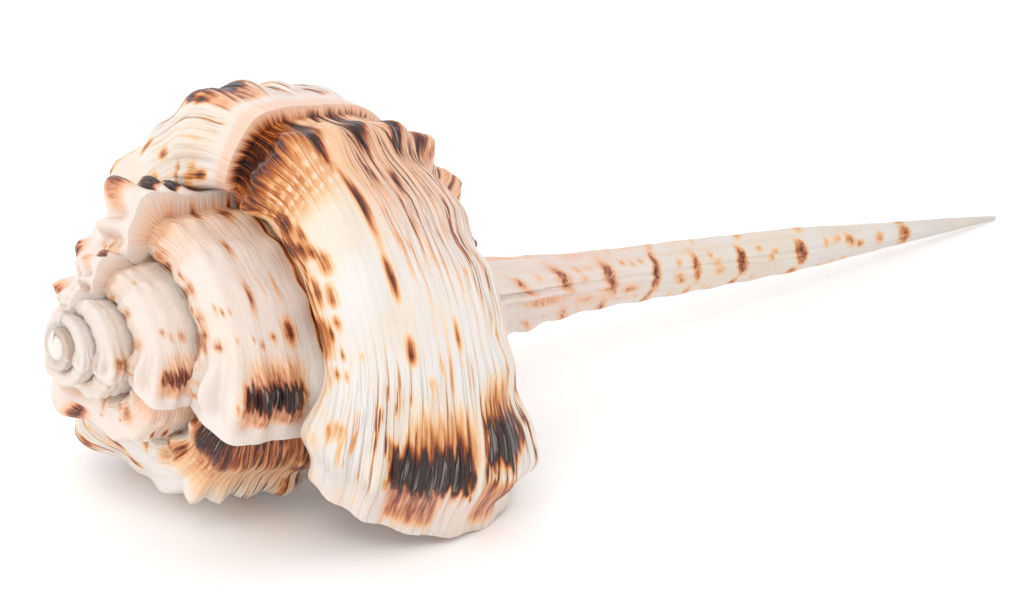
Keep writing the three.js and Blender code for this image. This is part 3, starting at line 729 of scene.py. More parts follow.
@dataclass(frozen=True)
class AragoniteShell:
    """Natural shell: fine layers of aragonite, dull to the touch and softly polished like porcelain.

    To the eye it is cream to flesh pink, opaque with a soft gloss, a little more polished where the
    pigment is dark. Pigment is laid down at the growing lip, so it runs in streaks and fine lines
    along the growth direction. A golden pigment goes from apricot through rust to near black, and a
    mauve one from flesh pink to a dull purple brown.
    """

    golden: tuple[tuple[float, str], ...] = (
        (0.0, "DFD3C6"), (0.1, "E5D0B7"), (0.22, "E8BC90"), (0.36, "D8945A"), (0.5, "B26221"),
        (0.64, "843A15"), (0.78, "4E1F0E"), (0.92, "301911"), (1.0, "291712"))
    mauve: tuple[tuple[float, str], ...] = (
        (0.0, "E2CFC6"), (0.12, "E4C2AE"), (0.28, "EAB897"), (0.45, "CF8E6A"), (0.6, "995441"),
        (0.78, "562D27"), (0.92, "341C17"), (1.0, "2A1814"))
    milk: str = "DDD7D3"
    ivory: str = "DED0C0"
    # Grey in the grooves of the dark patches: partly the grooves' own pale colour, partly a painted
    # highlight.
    groove_grey_and_highlight: str = "A3968F"
    throat: str = "EFD8C9"
    roughness: float = 0.32
    dark_roughness: float = 0.2
    coat: float = 0.22
    coat_roughness: float = 0.12
    specular: float = 0.34
    ior: float = 1.53
    body_turn: float = 150.0
    body_row: float = 6.3
    streak_size: tuple[float, float] = (9.0, 0.5)
    fine_size: tuple[float, float] = (2.6, 0.2)
    cords: float = 7.0
    line_wander: float = 0.42
    line_half: float = 0.18
    line_length: float = 7.0
    line_tone: float = 0.94
    line_darkening: float = 0.35
    unevenness: float = 5.4
    cloud: float = 7.0
    bead_pitch: float = 1.35
    bead_strength: float = 0.16
    cord_depth: float = 0.24
    stria: float = 0.34
    stria_depth: float = 0.05
    stria_width: float = 5.0
    ripple: float = 2.4
    ripple_depth: float = 0.16

    def build(self) -> bpy.types.Material:
        """Makes the material.

        Returns:
            The material, which reads the growth map, the painted fields and object coordinates.
        """
        material = bpy.data.materials.new("aragonite_shell")
        material.use_nodes = True
        tree = material.node_tree
        tree.nodes.clear()
        at = self.coordinates(tree)
        stained, pigment = self.pigment(tree, at)
        colour = self.colour(tree, at, stained, pigment)
        rough = add_node(tree, "ShaderNodeMapRange", {}, Value=pigment, From_Min=0.4, From_Max=0.95,
                         To_Min=self.roughness, To_Max=self.dark_roughness).outputs[0]
        shader = add_node(tree, "ShaderNodeBsdfPrincipled", {}, Base_Color=colour, Roughness=rough,
                          Normal=self.surface(tree, at), IOR=self.ior, Coat_Weight=self.coat,
                          Coat_Roughness=self.coat_roughness, Specular_IOR_Level=self.specular)
        add_node(tree, "ShaderNodeOutputMaterial", {}, Surface=shader.outputs[0])
        return material

    def noise_on(self, tree: bpy.types.NodeTree, growth: bpy.types.NodeSocket,
                 size: tuple[float, float]) -> bpy.types.NodeSocket:
        """Noise on the growth map, as long and wide as a size on the body whorl in millimetres.

        Args:
            tree: the material's nodes.
            growth: the growth map.
            size: length along the spiral and width across it.

        Returns:
            The noise.
        """
        scale = (self.body_turn / size[0], self.body_row / size[1], 1.0)
        spot = add_node(tree, "ShaderNodeMapping", {}, Vector=growth, Scale=scale).outputs[0]
        return add_node(tree, "ShaderNodeTexNoise", {}, Vector=spot, Scale=1.0, Detail=2.0).outputs[0]

    def coordinates(self, tree: bpy.types.NodeTree) -> dict[Field | str, bpy.types.NodeSocket]:
        """What several parts of the material read.

        Args:
            tree: the material's nodes.

        Returns:
            The painted fields, growth (turn and row), turn, place (object coordinates), streak and
            grain (noises drawn out along the spiral), off (distance from the nearest groove, as a share
            of a cord), number (of that groove) and groove (1 in its middle).
        """
        growth = add_node(tree, "ShaderNodeUVMap", {"uv_map": "Growth"}).outputs[0]
        parts = add_node(tree, "ShaderNodeSeparateXYZ", {}, Vector=growth)
        at = {kind: add_node(tree, "ShaderNodeAttribute", {"attribute_name": kind.value}).outputs["Fac"]
              for kind in Field}
        at["growth"], at["turn"] = growth, parts.outputs["X"]
        at["place"] = add_node(tree, "ShaderNodeTexCoord", {}).outputs["Object"]
        at["streak"] = self.noise_on(tree, growth, self.streak_size)
        at["grain"] = self.noise_on(tree, growth, self.fine_size)
        bent = add_node(tree, "ShaderNodeMapRange", {"clamp": False}, Value=at["streak"], From_Min=0.3,
                        From_Max=0.7, To_Min=-self.line_wander, To_Max=self.line_wander).outputs[0]
        lane = add_node(tree, "ShaderNodeMath", {"operation": "MULTIPLY_ADD"}, at0=parts.outputs["Y"],
                        at1=self.cords, at2=bent).outputs[0]
        at["number"] = add_node(tree, "ShaderNodeMath", {"operation": "FLOOR"}, at0=lane).outputs[0]
        inside = add_node(tree, "ShaderNodeMath", {"operation": "FRACT"}, at0=lane).outputs[0]
        off = add_node(tree, "ShaderNodeMath", {"operation": "SUBTRACT"}, at0=inside, at1=0.5).outputs[0]
        at["off"] = add_node(tree, "ShaderNodeMath", {"operation": "ABSOLUTE"}, at0=off).outputs[0]
        at["groove"] = add_node(tree, "ShaderNodeMapRange", {"interpolation_type": "SMOOTHSTEP"},
                                Value=at["off"], From_Min=0.03, From_Max=self.line_half, To_Min=1.0,
                                To_Max=0.0).outputs[0]
        return at

    def pigment(
        self, tree: bpy.types.NodeTree, at: dict[Field | str, bpy.types.NodeSocket]
    ) -> tuple[bpy.types.NodeSocket, bpy.types.NodeSocket]:
        """How much pigment lies at a point, from 0 to 1.

        Args:
            tree: the material's nodes.
            at: what the material reads.

        Returns:
            The amount without the thin lines, and with them.
        """
        calc = "ShaderNodeMath"
        both = add_node(tree, calc, {"operation": "ADD"}, at0=at["streak"], at1=at["grain"]).outputs[0]
        uneven = add_node(tree, calc, {"operation": "SUBTRACT"}, at0=both, at1=1.0).outputs[0]
        stain = at[Field.STAIN]
        room = add_node(tree, calc, {"operation": "SUBTRACT"}, at0=1.04, at1=stain).outputs[0]
        spread = add_node(tree, calc, {"operation": "MULTIPLY"}, at0=stain, at1=room).outputs[0]
        spread = add_node(tree, calc, {"operation": "MULTIPLY"}, at0=spread, at1=stain).outputs[0]
        spread = add_node(tree, calc, {"operation": "MULTIPLY"}, at0=spread, at1=self.unevenness).outputs[0]
        stained = add_node(tree, calc, {"operation": "MULTIPLY_ADD"}, at0=uneven, at1=spread,
                           at2=stain).outputs[0]
        bent = add_node(tree, calc, {"operation": "MULTIPLY_ADD"}, at0=at["grain"], at1=5.0,
                        at2=at["number"]).outputs[0]
        wave = add_node(tree, calc, {"operation": "MULTIPLY_ADD"}, at0=at["turn"],
                        at1=TAU * self.body_turn / self.bead_pitch, at2=bent).outputs[0]
        wave = add_node(tree, calc, {"operation": "COSINE"}, at0=wave).outputs[0]
        wave = add_node(tree, "ShaderNodeMapRange", {"interpolation_type": "SMOOTHSTEP"}, Value=wave,
                        From_Min=-0.3, From_Max=0.8, To_Min=0.0, To_Max=1.0).outputs[0]
        top = add_node(tree, "ShaderNodeMapRange", {"interpolation_type": "SMOOTHSTEP"}, Value=at["off"],
                       From_Min=0.12, From_Max=0.34, To_Min=0.0, To_Max=1.0).outputs[0]
        bead = add_node(tree, calc, {"operation": "MULTIPLY"}, at0=wave, at1=top).outputs[0]
        bead = add_node(tree, calc, {"operation": "MULTIPLY"}, at0=bead, at1=at[Field.BEADS]).outputs[0]
        stained = add_node(tree, calc, {"operation": "MULTIPLY_ADD"}, at0=bead, at1=-self.bead_strength,
                           at2=stained).outputs[0]
        run = add_node(tree, calc, {"operation": "MULTIPLY"}, at0=at["turn"],
                       at1=self.body_turn / self.line_length).outputs[0]
        own = add_node(tree, calc, {"operation": "MULTIPLY"}, at0=at["number"], at1=7.31).outputs[0]
        spot = add_node(tree, "ShaderNodeCombineXYZ", {}, X=run, Y=own).outputs[0]
        broken = add_node(tree, "ShaderNodeTexNoise", {}, Vector=spot, Scale=1.0, Detail=1.0).outputs[0]
        broken = add_node(tree, "ShaderNodeMapRange", {"interpolation_type": "SMOOTHSTEP"}, Value=broken,
                          From_Min=0.35, From_Max=0.54, To_Min=0.07, To_Max=1.0).outputs[0]
        line = add_node(tree, calc, {"operation": "MULTIPLY"}, at0=at["groove"], at1=broken).outputs[0]
        line = add_node(tree, calc, {"operation": "MULTIPLY"}, at0=line, at1=at[Field.LINES]).outputs[0]
        line = add_node(tree, calc, {"operation": "MULTIPLY"}, at0=line, at1=self.line_tone).outputs[0]
        darker = add_node(tree, calc, {"operation": "MULTIPLY_ADD"}, at0=line, at1=self.line_darkening,
                          at2=stained).outputs[0]
        return stained, add_node(tree, calc, {"operation": "MAXIMUM", "use_clamp": True}, at0=darker,
                                 at1=line).outputs[0]

    def colour(self, tree: bpy.types.NodeTree, at: dict[Field | str, bpy.types.NodeSocket],
               stained: bpy.types.NodeSocket, pigment: bpy.types.NodeSocket) -> bpy.types.NodeSocket:
        """Turns the amount of pigment to a colour.

        Args:
            tree: the material's nodes.
            at: what the material reads.
            stained: the amount of pigment without the thin lines.
            pigment: the amount of pigment with them.

        Returns:
            The colour.
        """
        blend = "ShaderNodeMix"
        blush = at[Field.BLUSH]
        golden = add_node(tree, "ShaderNodeValToRGB", {"stops": self.golden}, Fac=pigment).outputs[0]
        mauve = add_node(tree, "ShaderNodeValToRGB", {"stops": self.mauve}, Fac=pigment).outputs[0]
        warm = add_node(tree, blend, {"data_type": "RGBA"}, Factor=blush, at6=golden, at7=mauve).outputs[2]
        cloudy = add_node(tree, "ShaderNodeTexNoise", {}, Vector=at["place"], Scale=1000 / self.cloud,
                          Detail=3.0).outputs[0]
        pale = add_node(tree, "ShaderNodeMapRange", {"interpolation_type": "SMOOTHSTEP"}, Value=cloudy,
                        From_Min=0.4, From_Max=0.62, To_Min=0.0, To_Max=1.0).outputs[0]
        base = add_node(tree, blend, {"data_type": "RGBA"}, Factor=pale, at6=linear(self.milk),
                        at7=linear(self.ivory)).outputs[2]
        clear = add_node(tree, "ShaderNodeMapRange", {"interpolation_type": "SMOOTHSTEP"}, Value=pigment,
                         From_Min=0.0, From_Max=0.2, To_Min=0.9, To_Max=0.0).outputs[0]
        clear = add_node(tree, "ShaderNodeMath", {"operation": "SUBTRACT", "use_clamp": True}, at0=clear,
                         at1=blush).outputs[0]
        warm = add_node(tree, blend, {"data_type": "RGBA"}, Factor=clear, at6=warm, at7=base).outputs[2]
        # Pale grey lines in the grooves where the pigment is darkest: partly their own colour, partly a
        # painted highlight along the cords.
        dark = add_node(tree, "ShaderNodeMapRange", {"interpolation_type": "SMOOTHSTEP"}, Value=stained,
                        From_Min=0.88, From_Max=0.98, To_Min=0.0, To_Max=0.5).outputs[0]
        dark = add_node(tree, "ShaderNodeMath", {"operation": "MULTIPLY"}, at0=dark,
                        at1=at["groove"]).outputs[0]
        warm = add_node(tree, blend, {"data_type": "RGBA"}, Factor=dark, at6=warm,
                        at7=linear(self.groove_grey_and_highlight)).outputs[2]
        return add_node(tree, blend, {"data_type": "RGBA"}, Factor=at[Field.THROAT], at6=warm,
                        at7=linear(self.throat)).outputs[2]

    def surface(self, tree: bpy.types.NodeTree,
                at: dict[Field | str, bpy.types.NodeSocket]) -> bpy.types.NodeSocket:
        """Fine relief: the cords between the grooves, growth lines across them and soft ripples.

        Real growth lines are 0.05 to 0.2 mm apart. They are drawn 0.34 mm apart, as coarse as they
        need to be to show.

        Args:
            tree: the material's nodes.
            at: what the material reads.

        Returns:
            The bumped normal.
        """
        waves = add_node(tree, "ShaderNodeTexNoise", {}, Vector=at["place"], Scale=1000 / self.ripple,
                         Detail=3.0).outputs[0]
        soft = add_node(tree, "ShaderNodeBump", {}, Height=waves, Strength=1.0,
                        Distance=self.ripple_depth * MM).outputs[0]
        striae = self.noise_on(tree, at["growth"], (self.stria, self.stria_width))
        fine = add_node(tree, "ShaderNodeBump", {}, Height=striae, Strength=1.0,
                        Distance=self.stria_depth * MM, Normal=soft).outputs[0]
        where = add_node(tree, "ShaderNodeMath", {"operation": "MAXIMUM"}, at0=at[Field.LINES],
                         at1=at[Field.STAIN]).outputs[0]
        where = add_node(tree, "ShaderNodeMath", {"operation": "MULTIPLY_ADD"}, at0=where, at1=0.92,
                         at2=0.04).outputs[0]
        cord = add_node(tree, "ShaderNodeMapRange", {"interpolation_type": "SMOOTHSTEP"}, Value=at["off"],
                        From_Min=0.0, From_Max=0.42, To_Min=0.0, To_Max=1.0).outputs[0]
        cord = add_node(tree, "ShaderNodeMath", {"operation": "MULTIPLY"}, at0=cord, at1=where).outputs[0]
        return add_node(tree, "ShaderNodeBump", {}, Height=cord, Strength=1.0,
                        Distance=self.cord_depth * MM, Normal=fine).outputs[0]


class Patch:
    """A grid primitive that is wrapped on the coil, with its growth coordinates and fields."""

    def __init__(self, name: str, columns: int, rows: int) -> None:
        """Adds the flat grid.

        Args:
            name: name of the patch.
            columns: vertices across.
            rows: vertices along.
        """
        nothing_selected()
        bpy.ops.mesh.primitive_grid_add(x_subdivisions=columns - 1, y_subdivisions=rows - 1, size=1)
        self.piece = bpy.context.object
        self.piece.name = name
        self.columns = columns
        self.rows = rows

    def wrap(self, xyz: np.ndarray, growth: np.ndarray, fields: dict[Field, np.ndarray]) -> None:
        """Moves the grid's vertices to their places and stores where they are on the strip.

        Args:
            xyz: places in shell axes, in millimetres, as columns, rows and axis.
            growth: turn and row of each vertex.
            fields: values of the painted fields at each vertex.
        """
        mesh = self.piece.data
        flat = np.swapaxes(xyz, 0, 1).reshape(-1, 3) * MM
        mesh.vertices.foreach_set("co", flat.astype(np.float32).ravel())
        corner = np.zeros(len(mesh.loops), np.int32)
        mesh.loops.foreach_get("vertex_index", corner)
        uv = mesh.uv_layers[0]
        uv.name = "Growth"
        uv.data.foreach_set("uv", np.swapaxes(growth, 0, 1).reshape(-1, 2)[corner].astype(np.float32).ravel())
        for kind in Field:
            values = fields.get(kind, np.zeros((self.columns, self.rows)))
            layer = mesh.attributes.new(kind.value, "FLOAT", "CORNER")
            layer.data.foreach_set("value", values.T.reshape(-1)[corner].astype(np.float32))
        mesh.update()


@dataclass
class MurexShell:
    """The whole shell: spire, body whorl, base, canal with its slit, and the mouth."""

    coiling: Coiling = field(default_factory=Coiling)
    outline: Outline = field(default_factory=Outline)
    relief: Relief = field(default_factory=Relief)
    colours: Pigment = field(default_factory=Pigment)
    finish: AragoniteShell = field(default_factory=AragoniteShell)
    fine_rows: int = 112
    base_rows: int = 100
    canal_rows: int = 110
    base_end: float = 8.0
    canal_end: float = 15.0
    mouth_row: float = 7.2
    tip_turn: float = -5.4
    tip_rise: float = 0.12
    canal_root: float = 44.0
    canal_tip: float = 110.0
    canal_curve: float = 1.5
    canal_curve_turn: float = 0.6
    canal_curve_power: float = 1.3
    lip_advance: float = 0.15
    collar_advance: float = 0.215
    collar: float = 2.0
    collar_width: float = 0.045
    collar_rises: tuple[float, float] = (4, 4.7)
    collar_sinks: tuple[float, float] = (6.6, 8)
    collar_turns_over: tuple[float, float] = (4, 6.6)
    lip_turns_over: tuple[float, float] = (4.4, 7.2)
    slit_depth: float = 0.62
    slit_section: tuple[tuple[float, float], ...] = (
        (0, 0), (0.06, 0.45), (0.16, 0.85), (0.5, 1), (0.84, 0.85), (0.94, 0.45), (1, 0))
    slit_closes_at: float = 0.8
    slit_closing: float = 0.8
    slit_tint: float = 0.6
    throat: tuple[float, float] = (15.0, 28.3)
    throat_radii: tuple[float, float] = (6.4, 7.6)
    throat_end: float = 0.37
    throat_evenness: float = 0.12
    mouth_map_row: float = 20.0
    mouth_rings: tuple[tuple[float, float, float], ...] = (
        (-0.002, 0.22, 1), (-0.001, 0.42, 1.03), (0.001, 0.62, 1.04), (0.006, 0.76, 1.03),
        (0.012, 0.85, 1.02), (0.024, 0.93, 1.01), (0.04, 0.97, 1), (0.07, 0.99, 1), (0.1, 1, 1),
        (0.16, 1, 1), (0.22, 1, 1), (0.28, 1, 0.97), (0.33, 1, 0.82), (0.36, 1, 0.48))
    merge_within: float = 2e-6
    shortest_edge: float = 1e-7
    smooth_angle: float = 65.0
    roll: float = -57.9
    tail_down: float = 10.5
    place: tuple[float, float, float] = (-53.9513, 3.452, 18.8704)

    def build(self) -> bpy.types.Object:
        """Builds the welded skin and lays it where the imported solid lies.

        Returns:
            The finished piece.
        """
        self.lay_out()
        patches = [self.spire_strip(early=True), self.spire_strip(early=False), self.base_strip(),
                   self.canal_strip(), self.slit_strip(), self.mouth_strip(), self.canal_end_cap(),
                   self.spire_tip()]
        shell = self.weld(patches)
        self.lay_down(shell)
        self.dress(shell)
        return shell

    def lay_out(self) -> None:
        """Works out every column of the winding strip, turn by turn, as each one rests on the last."""
        self.turn, self.stage, self.lip = self.coiling.columns()
        count = len(self.turn)
        per_turn = self.coiling.per_turn
        rows = np.linspace(0, 4, self.fine_rows + 1)
        self.strip = np.zeros((count, len(rows), 3))
        for first in range(0, count, per_turn):
            pick = np.arange(first, min(first + per_turn, count))
            start = self.strip[pick - per_turn, -1] if first else None
            self.strip[pick] = self.surface(pick, rows, start)
        self.first = count - per_turn
        self.fine_from = count - self.coiling.fine_lips * self.coiling.columns_per_lip
        last_turn = np.arange(self.first, count)
        start = self.strip[last_turn - per_turn, -1]
        base = self.surface(last_turn, self.rows_of_base, start)
        base[:, 0] = self.strip[last_turn, -1]
        coarse = self.fewer(per_turn)
        canal = self.surface(last_turn[coarse], self.rows_of_canal, start[coarse])
        canal[:, 0] = base[coarse, -1]
        odd = np.setdiff1d(np.arange(per_turn), coarse)
        base[odd, -1] = base[odd - 1, -1]
        self.base, self.canal = base, canal

    @property
    def rows_of_base(self) -> np.ndarray:
        """Rows of the base, from the seam down to the canal."""
        return np.linspace(4, self.base_end, self.base_rows + 1)

    @property
    def rows_of_canal(self) -> np.ndarray:
        """Rows of the canal, down to its end."""
        return np.linspace(self.base_end, self.canal_end, self.canal_rows + 1)

    @property
    def mouth_at(self) -> int:
        """Number of the base row where the mouth ends and the slit begins."""
        return int(round((self.mouth_row - 4) / (self.base_end - 4) * self.base_rows))

    @staticmethod
    def fewer(count: int) -> np.ndarray:
        """Every second one of count columns, and the last."""
        return np.append(np.arange(0, count - 1, 2), count - 1)

    def surface(self, pick: np.ndarray, rows: np.ndarray, start: np.ndarray | None) -> np.ndarray:
        """Gives the outside of the shell for some columns.

        Args:
            pick: numbers of the columns.
            rows: rows that are wanted.
            start: radius, depth and turn of each column's first point, where a turn lies above it.

        Returns:
            An array of columns, rows and radius, depth or turn.
        """
        turn, stage, lip = self.turn[pick], self.stage[pick], self.lip[pick]
        q = self.coiling.growth**turn
        points = self.outline.points(self.coiling.growth, turn, None if start is None else start[:, :2])
        at = Outline.along(points, rows)
        run = Outline.along(points, rows + 0.02) - Outline.along(points, np.maximum(0, rows - 0.02))
        run = run / np.linalg.norm(run, axis=-1, keepdims=True)
        size = self.relief.varix * q * ease(0.035, 0.1, q)
        rib = self.relief.lift(stage, lip, rows) + self.relief.scalloped(stage, lip, rows)
        lift = size[:, None] * rib
        way = (pick - (len(self.turn) - self.coiling.per_turn)) / (self.coiling.per_turn - 1)
        collar_shift = self.collar_advance * ease(*self.collar_turns_over, rows)
        lip_shift = self.lip_advance * ease(*self.lip_turns_over, rows)
        shift = mix(collar_shift[None], lip_shift[None], way[:, None])
        collar = self.collar * bell(way, self.collar_width)[:, None]
        lift = lift + collar * (ease(*self.collar_rises, rows) * (1 - ease(*self.collar_sinks, rows)))[None]
        flange = self.relief.flange * bell(turn - self.relief.flange_turn, self.relief.flange_width)
        lift = lift + flange[:, None] * between(rows, *self.relief.flange_rows, 0.8)[None]
        lift = lift + self.cord_lift(turn, rib, rows)
        if start is not None:
            shift = shift + (start[:, 2] + 1 - turn)[:, None] * (1 - ease(0, 0.9, rows))[None]
        radius = at[..., 0] + lift * run[..., 1]
        depth = at[..., 1] - lift * run[..., 0]
        return np.stack([radius, depth, turn[:, None] + shift], -1)

    def cord_lift(self, turn: np.ndarray, rib: np.ndarray, rows: np.ndarray) -> np.ndarray:
        """Height of the fine spiral cords, which are strongest on the ribs and varices.

        Args:
            turn: turn of each column.
            rib: height of varices and ribs, as a share of the last varix.
            rows: rows of the vertices.

        Returns:
            The height as columns and rows, in millimetres.
        """
        q = self.coiling.growth**turn
        fine = self.relief.cord_height + self.relief.cord_on_rib * np.clip(rib, 0, 1)
        stage = self.stage_at(turn)
        fine = fine + (self.relief.cord_after_lip * bell(stage - 0.04, 0.07) * (turn > -0.4))[:, None]
        fine = fine * (q**0.6 * ease(0.4, 0.85, q) * (1 - 0.7 * ease(0.91, 0.96, stage)))[:, None]
        where = ease(0.25, 0.9, rows) * (1 - 0.7 * ease(6.5, 9, rows))
        return fine * (where * self.relief.cord(rows))[None]

    def stage_at(self, turn: np.ndarray) -> np.ndarray:
        """Stage of some turns."""
        return np.interp(turn, self.turn, self.stage)

    def xyz(self, coil: np.ndarray) -> np.ndarray:
        """Turns radius, depth and turn into shell axes, with the slow bend of the canal.

        Args:
            coil: radius, depth and turn along the last axis.

        Returns:
            The places in shell axes, in millimetres.
        """
        radius, depth, turn = coil[..., 0], coil[..., 1], coil[..., 2]
        down = np.maximum(0, (depth - self.canal_root) / (self.canal_tip - self.canal_root))
        bend = self.canal_curve * down**self.canal_curve_power
        across = TAU * self.canal_curve_turn
        return np.stack([radius * np.cos(TAU * turn) + bend * math.cos(across),
                         radius * np.sin(TAU * turn) + bend * math.sin(across), depth], -1)

    def growth_map(self, pick: np.ndarray, rows: np.ndarray) -> np.ndarray:
        """Turn and row of each vertex of some columns."""
        return pairs(self.turn[pick], rows)

    def spire_strip(self, early: bool) -> Patch:
        """Wraps the winding strip: the early whorls with half the rows, or the last two turns.

        Args:
            early: whether the early whorls are wanted.

        Returns:
            The patch.
        """
        if early:
            pick = np.arange(0, self.fine_from + 1)
            coil = self.strip[pick, ::2]
            rows = np.linspace(0, 4, self.fine_rows // 2 + 1)
        else:
            pick = np.arange(self.fine_from, len(self.turn))
            coil = self.strip[pick].copy()
            coil[0, 1::2] = coil[0, 0:-1:2]
            rows = np.linspace(0, 4, self.fine_rows + 1)
        patch = Patch("spire_early" if early else "spire_late", len(pick), len(rows))
        patch.wrap(self.xyz(coil), self.growth_map(pick, rows), self.paint(pick, rows))
        return patch

    def base_strip(self) -> Patch:
        """Wraps the base of the last turn, from the periphery down to the canal.

        Returns:
            The patch.
        """
        pick = np.arange(self.first, len(self.turn))
        rows = self.rows_of_base
        patch = Patch("base", len(pick), len(rows))
        patch.wrap(self.xyz(self.base), self.growth_map(pick, rows), self.paint(pick, rows))
        return patch

    def canal_strip(self) -> Patch:
        """Wraps the outside of the canal with half the columns.

        Returns:
            The patch.
        """
        pick = np.arange(self.first, len(self.turn))[self.fewer(self.coiling.per_turn)]
        rows = self.rows_of_canal
        patch = Patch("canal", len(pick), len(rows))
        patch.wrap(self.xyz(self.canal), self.growth_map(pick, rows), self.paint(pick, rows))
        return patch

    def edges_of_slit(self) -> tuple[np.ndarray, np.ndarray, np.ndarray]:
        """Finds the two edges of the canal slit, from the mouth to the canal's end.

        Returns:
            The edge on the lip's side, the edge on the collar's side and their rows.
        """
        lip = np.concatenate([self.base[-1, self.mouth_at :], self.canal[-1, 1:]])
        collar = np.concatenate([self.base[0, self.mouth_at :], self.canal[0, 1:]])
        rows = np.concatenate([self.rows_of_base[self.mouth_at :], self.rows_of_canal[1:]])
        return lip, collar, rows

    def slit_grid(self) -> tuple[np.ndarray, np.ndarray]:
        """Works out the groove between the slit's edges.

        Returns:
            Radius, depth and turn as columns and rows, and the rows.
        """
        lip, collar, rows = self.edges_of_slit()
        collar = collar + np.array([0, 0, 1])
        way = np.linspace(0, 1, len(rows))
        opened = 1 - self.slit_closing * ease(self.slit_closes_at, 1, way)
        grid = []
        for across, deep in self.slit_section:
            line = mix(lip, collar, across)
            line[:, 0] *= 1 - self.slit_depth * opened * deep
            grid.append(line)
        grid[0], grid[-1] = lip, collar
        return np.stack(grid), rows

    def slit_strip(self) -> Patch:
        """Wraps the walls of the slit that runs down the canal.

        Returns:
            The patch.
        """
        grid, rows = self.slit_grid()
        patch = Patch("slit", len(grid), len(rows))
        growth = pairs(np.zeros(len(grid)), rows)
        tint = np.full((len(grid), len(rows)), self.slit_tint)
        patch.wrap(self.xyz(grid), growth, {Field.THROAT: tint})
        return patch

    def mouth_strip(self) -> Patch:
        """Wraps the mouth: rings go back into the body whorl from the lip and the collar.

        Returns:
            The patch.
        """
        slit, _ = self.slit_grid()
        upto = self.mouth_at + 1
        rim = np.concatenate([
            self.base[-1, :upto][::-1], self.strip[-1, :-1][::-1],
            self.base[0, :upto] + np.array([0, 0, 1]), slit[:, 0][::-1][1:]])
        centre = np.array(self.throat)
        angle = np.unwrap(np.arctan2(rim[:, 1] - centre[1], rim[:, 0] - centre[0]))
        way_round = np.sign(angle[-1] - angle[0])
        angle = way_round * np.maximum.accumulate(way_round * angle)
        evenly = np.linspace(angle[0], angle[0] + way_round * TAU, len(angle))
        angle = mix(angle, evenly, self.throat_evenness)
        turn = np.where(rim[:, 2] > -0.5, rim[:, 2], rim[:, 2] + 1)
        rings = [rim]
        for back, blend, width in self.mouth_rings:
            q = self.coiling.growth**-back
            radius = (centre[0] + self.throat_radii[0] * width * np.cos(angle)) * q
            depth = (centre[1] + self.throat_radii[1] * width * np.sin(angle)) * q
            rings.append(np.stack([mix(rim[:, 0], radius, blend), mix(rim[:, 1], depth, blend),
                                   mix(turn, 0, blend) - back], -1))
        q = self.coiling.growth**-self.throat_end
        middle = np.array([centre[0] * q, centre[1] * q, -self.throat_end])
        rings.append(np.broadcast_to(middle, rim.shape))
        grid = np.stack(rings, 1)
        patch = Patch("mouth", grid.shape[0], grid.shape[1])
        growth = pairs(np.linspace(0, 1, grid.shape[0]), self.mouth_map_row + np.arange(grid.shape[1]))
        throat = np.broadcast_to(np.linspace(0, 1, grid.shape[1])[None], grid.shape[:2])
        patch.wrap(self.xyz(grid), growth, {Field.THROAT: throat, Field.BLUSH: 1 - 0.5 * throat,
                                            Field.STAIN: 0.2 * (1 - throat)})
        return patch

    def canal_end_cap(self) -> Patch:
        """Wraps the rounded end of the canal: its last loop drawn together to a point.

        Returns:
            The patch.
        """
        slit, _ = self.slit_grid()
        loop = np.concatenate([self.canal[:, -1], slit[1:, -1]])
        rings = [loop]
        for radius_share, deeper in ((0.7, 0.6), (0.0, 1.0)):
            ring = loop.copy()
            ring[:, 0] *= radius_share
            ring[:, 1] = mix(loop[:, 1], self.canal_tip, deeper)
            rings.append(ring)
        grid = np.stack(rings, 1)
        grid[:, -1] = (0.0, self.canal_tip, 0.0)
        patch = Patch("canal_end", grid.shape[0], grid.shape[1])
        growth = pairs(np.zeros(grid.shape[0]), np.full(grid.shape[1], self.canal_end))
        patch.wrap(self.xyz(grid), growth, {})
        return patch

    def spire_tip(self) -> Patch:
        """Wraps the first bulb of the spire: the first turn's edge drawn together to a dome.

        Returns:
            The patch.
        """
        per_turn = self.coiling.per_turn
        edge = np.concatenate([self.strip[per_turn : per_turn + 1, 0], self.strip[:per_turn, 0][::-1],
                               self.strip[0, 2:-1:2], self.strip[per_turn : per_turn + 1, 0]])
        top = edge[:, 1].min() - self.tip_rise
        rings = [edge]
        for share in (0.25, 0.5, 0.75):
            ring = edge.copy()
            ring[:, 0] *= math.cos(share * math.pi / 2)
            ring[:, 1] = mix(edge[:, 1], top, math.sin(share * math.pi / 2))
            rings.append(ring)
        grid = np.stack([*rings, np.broadcast_to(np.array([0.0, top, 0.0]), edge.shape)], 1)
        patch = Patch("spire_tip", grid.shape[0], grid.shape[1])
        growth = pairs(np.full(grid.shape[0], self.tip_turn), np.zeros(grid.shape[1]))
        patch.wrap(self.xyz(grid), growth, {Field.STAIN: np.full(grid.shape[:2], 0.05)})
        return patch

    def weld(self, patches: list[Patch]) -> bpy.types.Object:
        """Joins the patches, merges their shared edges and turns every face outwards.

        Args:
            patches: all parts of the skin.

        Returns:
            The closed skin.
        """
        nothing_selected()
        for patch in patches:
            patch.piece.select_set(True)
        shell = patches[0].piece
        bpy.context.view_layer.objects.active = shell
        bpy.ops.object.join()
        shell.name = "murex_shell_surface"
        shell.data.name = shell.name
        bpy.ops.object.mode_set(mode="EDIT")
        bpy.ops.mesh.select_all(action="SELECT")
        bpy.ops.mesh.remove_doubles(threshold=self.merge_within)
        bpy.ops.mesh.dissolve_degenerate(threshold=self.shortest_edge)
        bpy.ops.mesh.normals_make_consistent(inside=False)
        bpy.ops.mesh.select_all(action="DESELECT")
        bpy.ops.mesh.select_non_manifold()
        bpy.ops.object.mode_set(mode="OBJECT")
        loose = sum(v.select for v in shell.data.vertices)
        LOG.info("shell skin: %d vertices, %d open or doubled", len(shell.data.vertices), loose)
        bpy.ops.object.shade_smooth_by_angle(angle=math.radians(self.smooth_angle))
        return shell

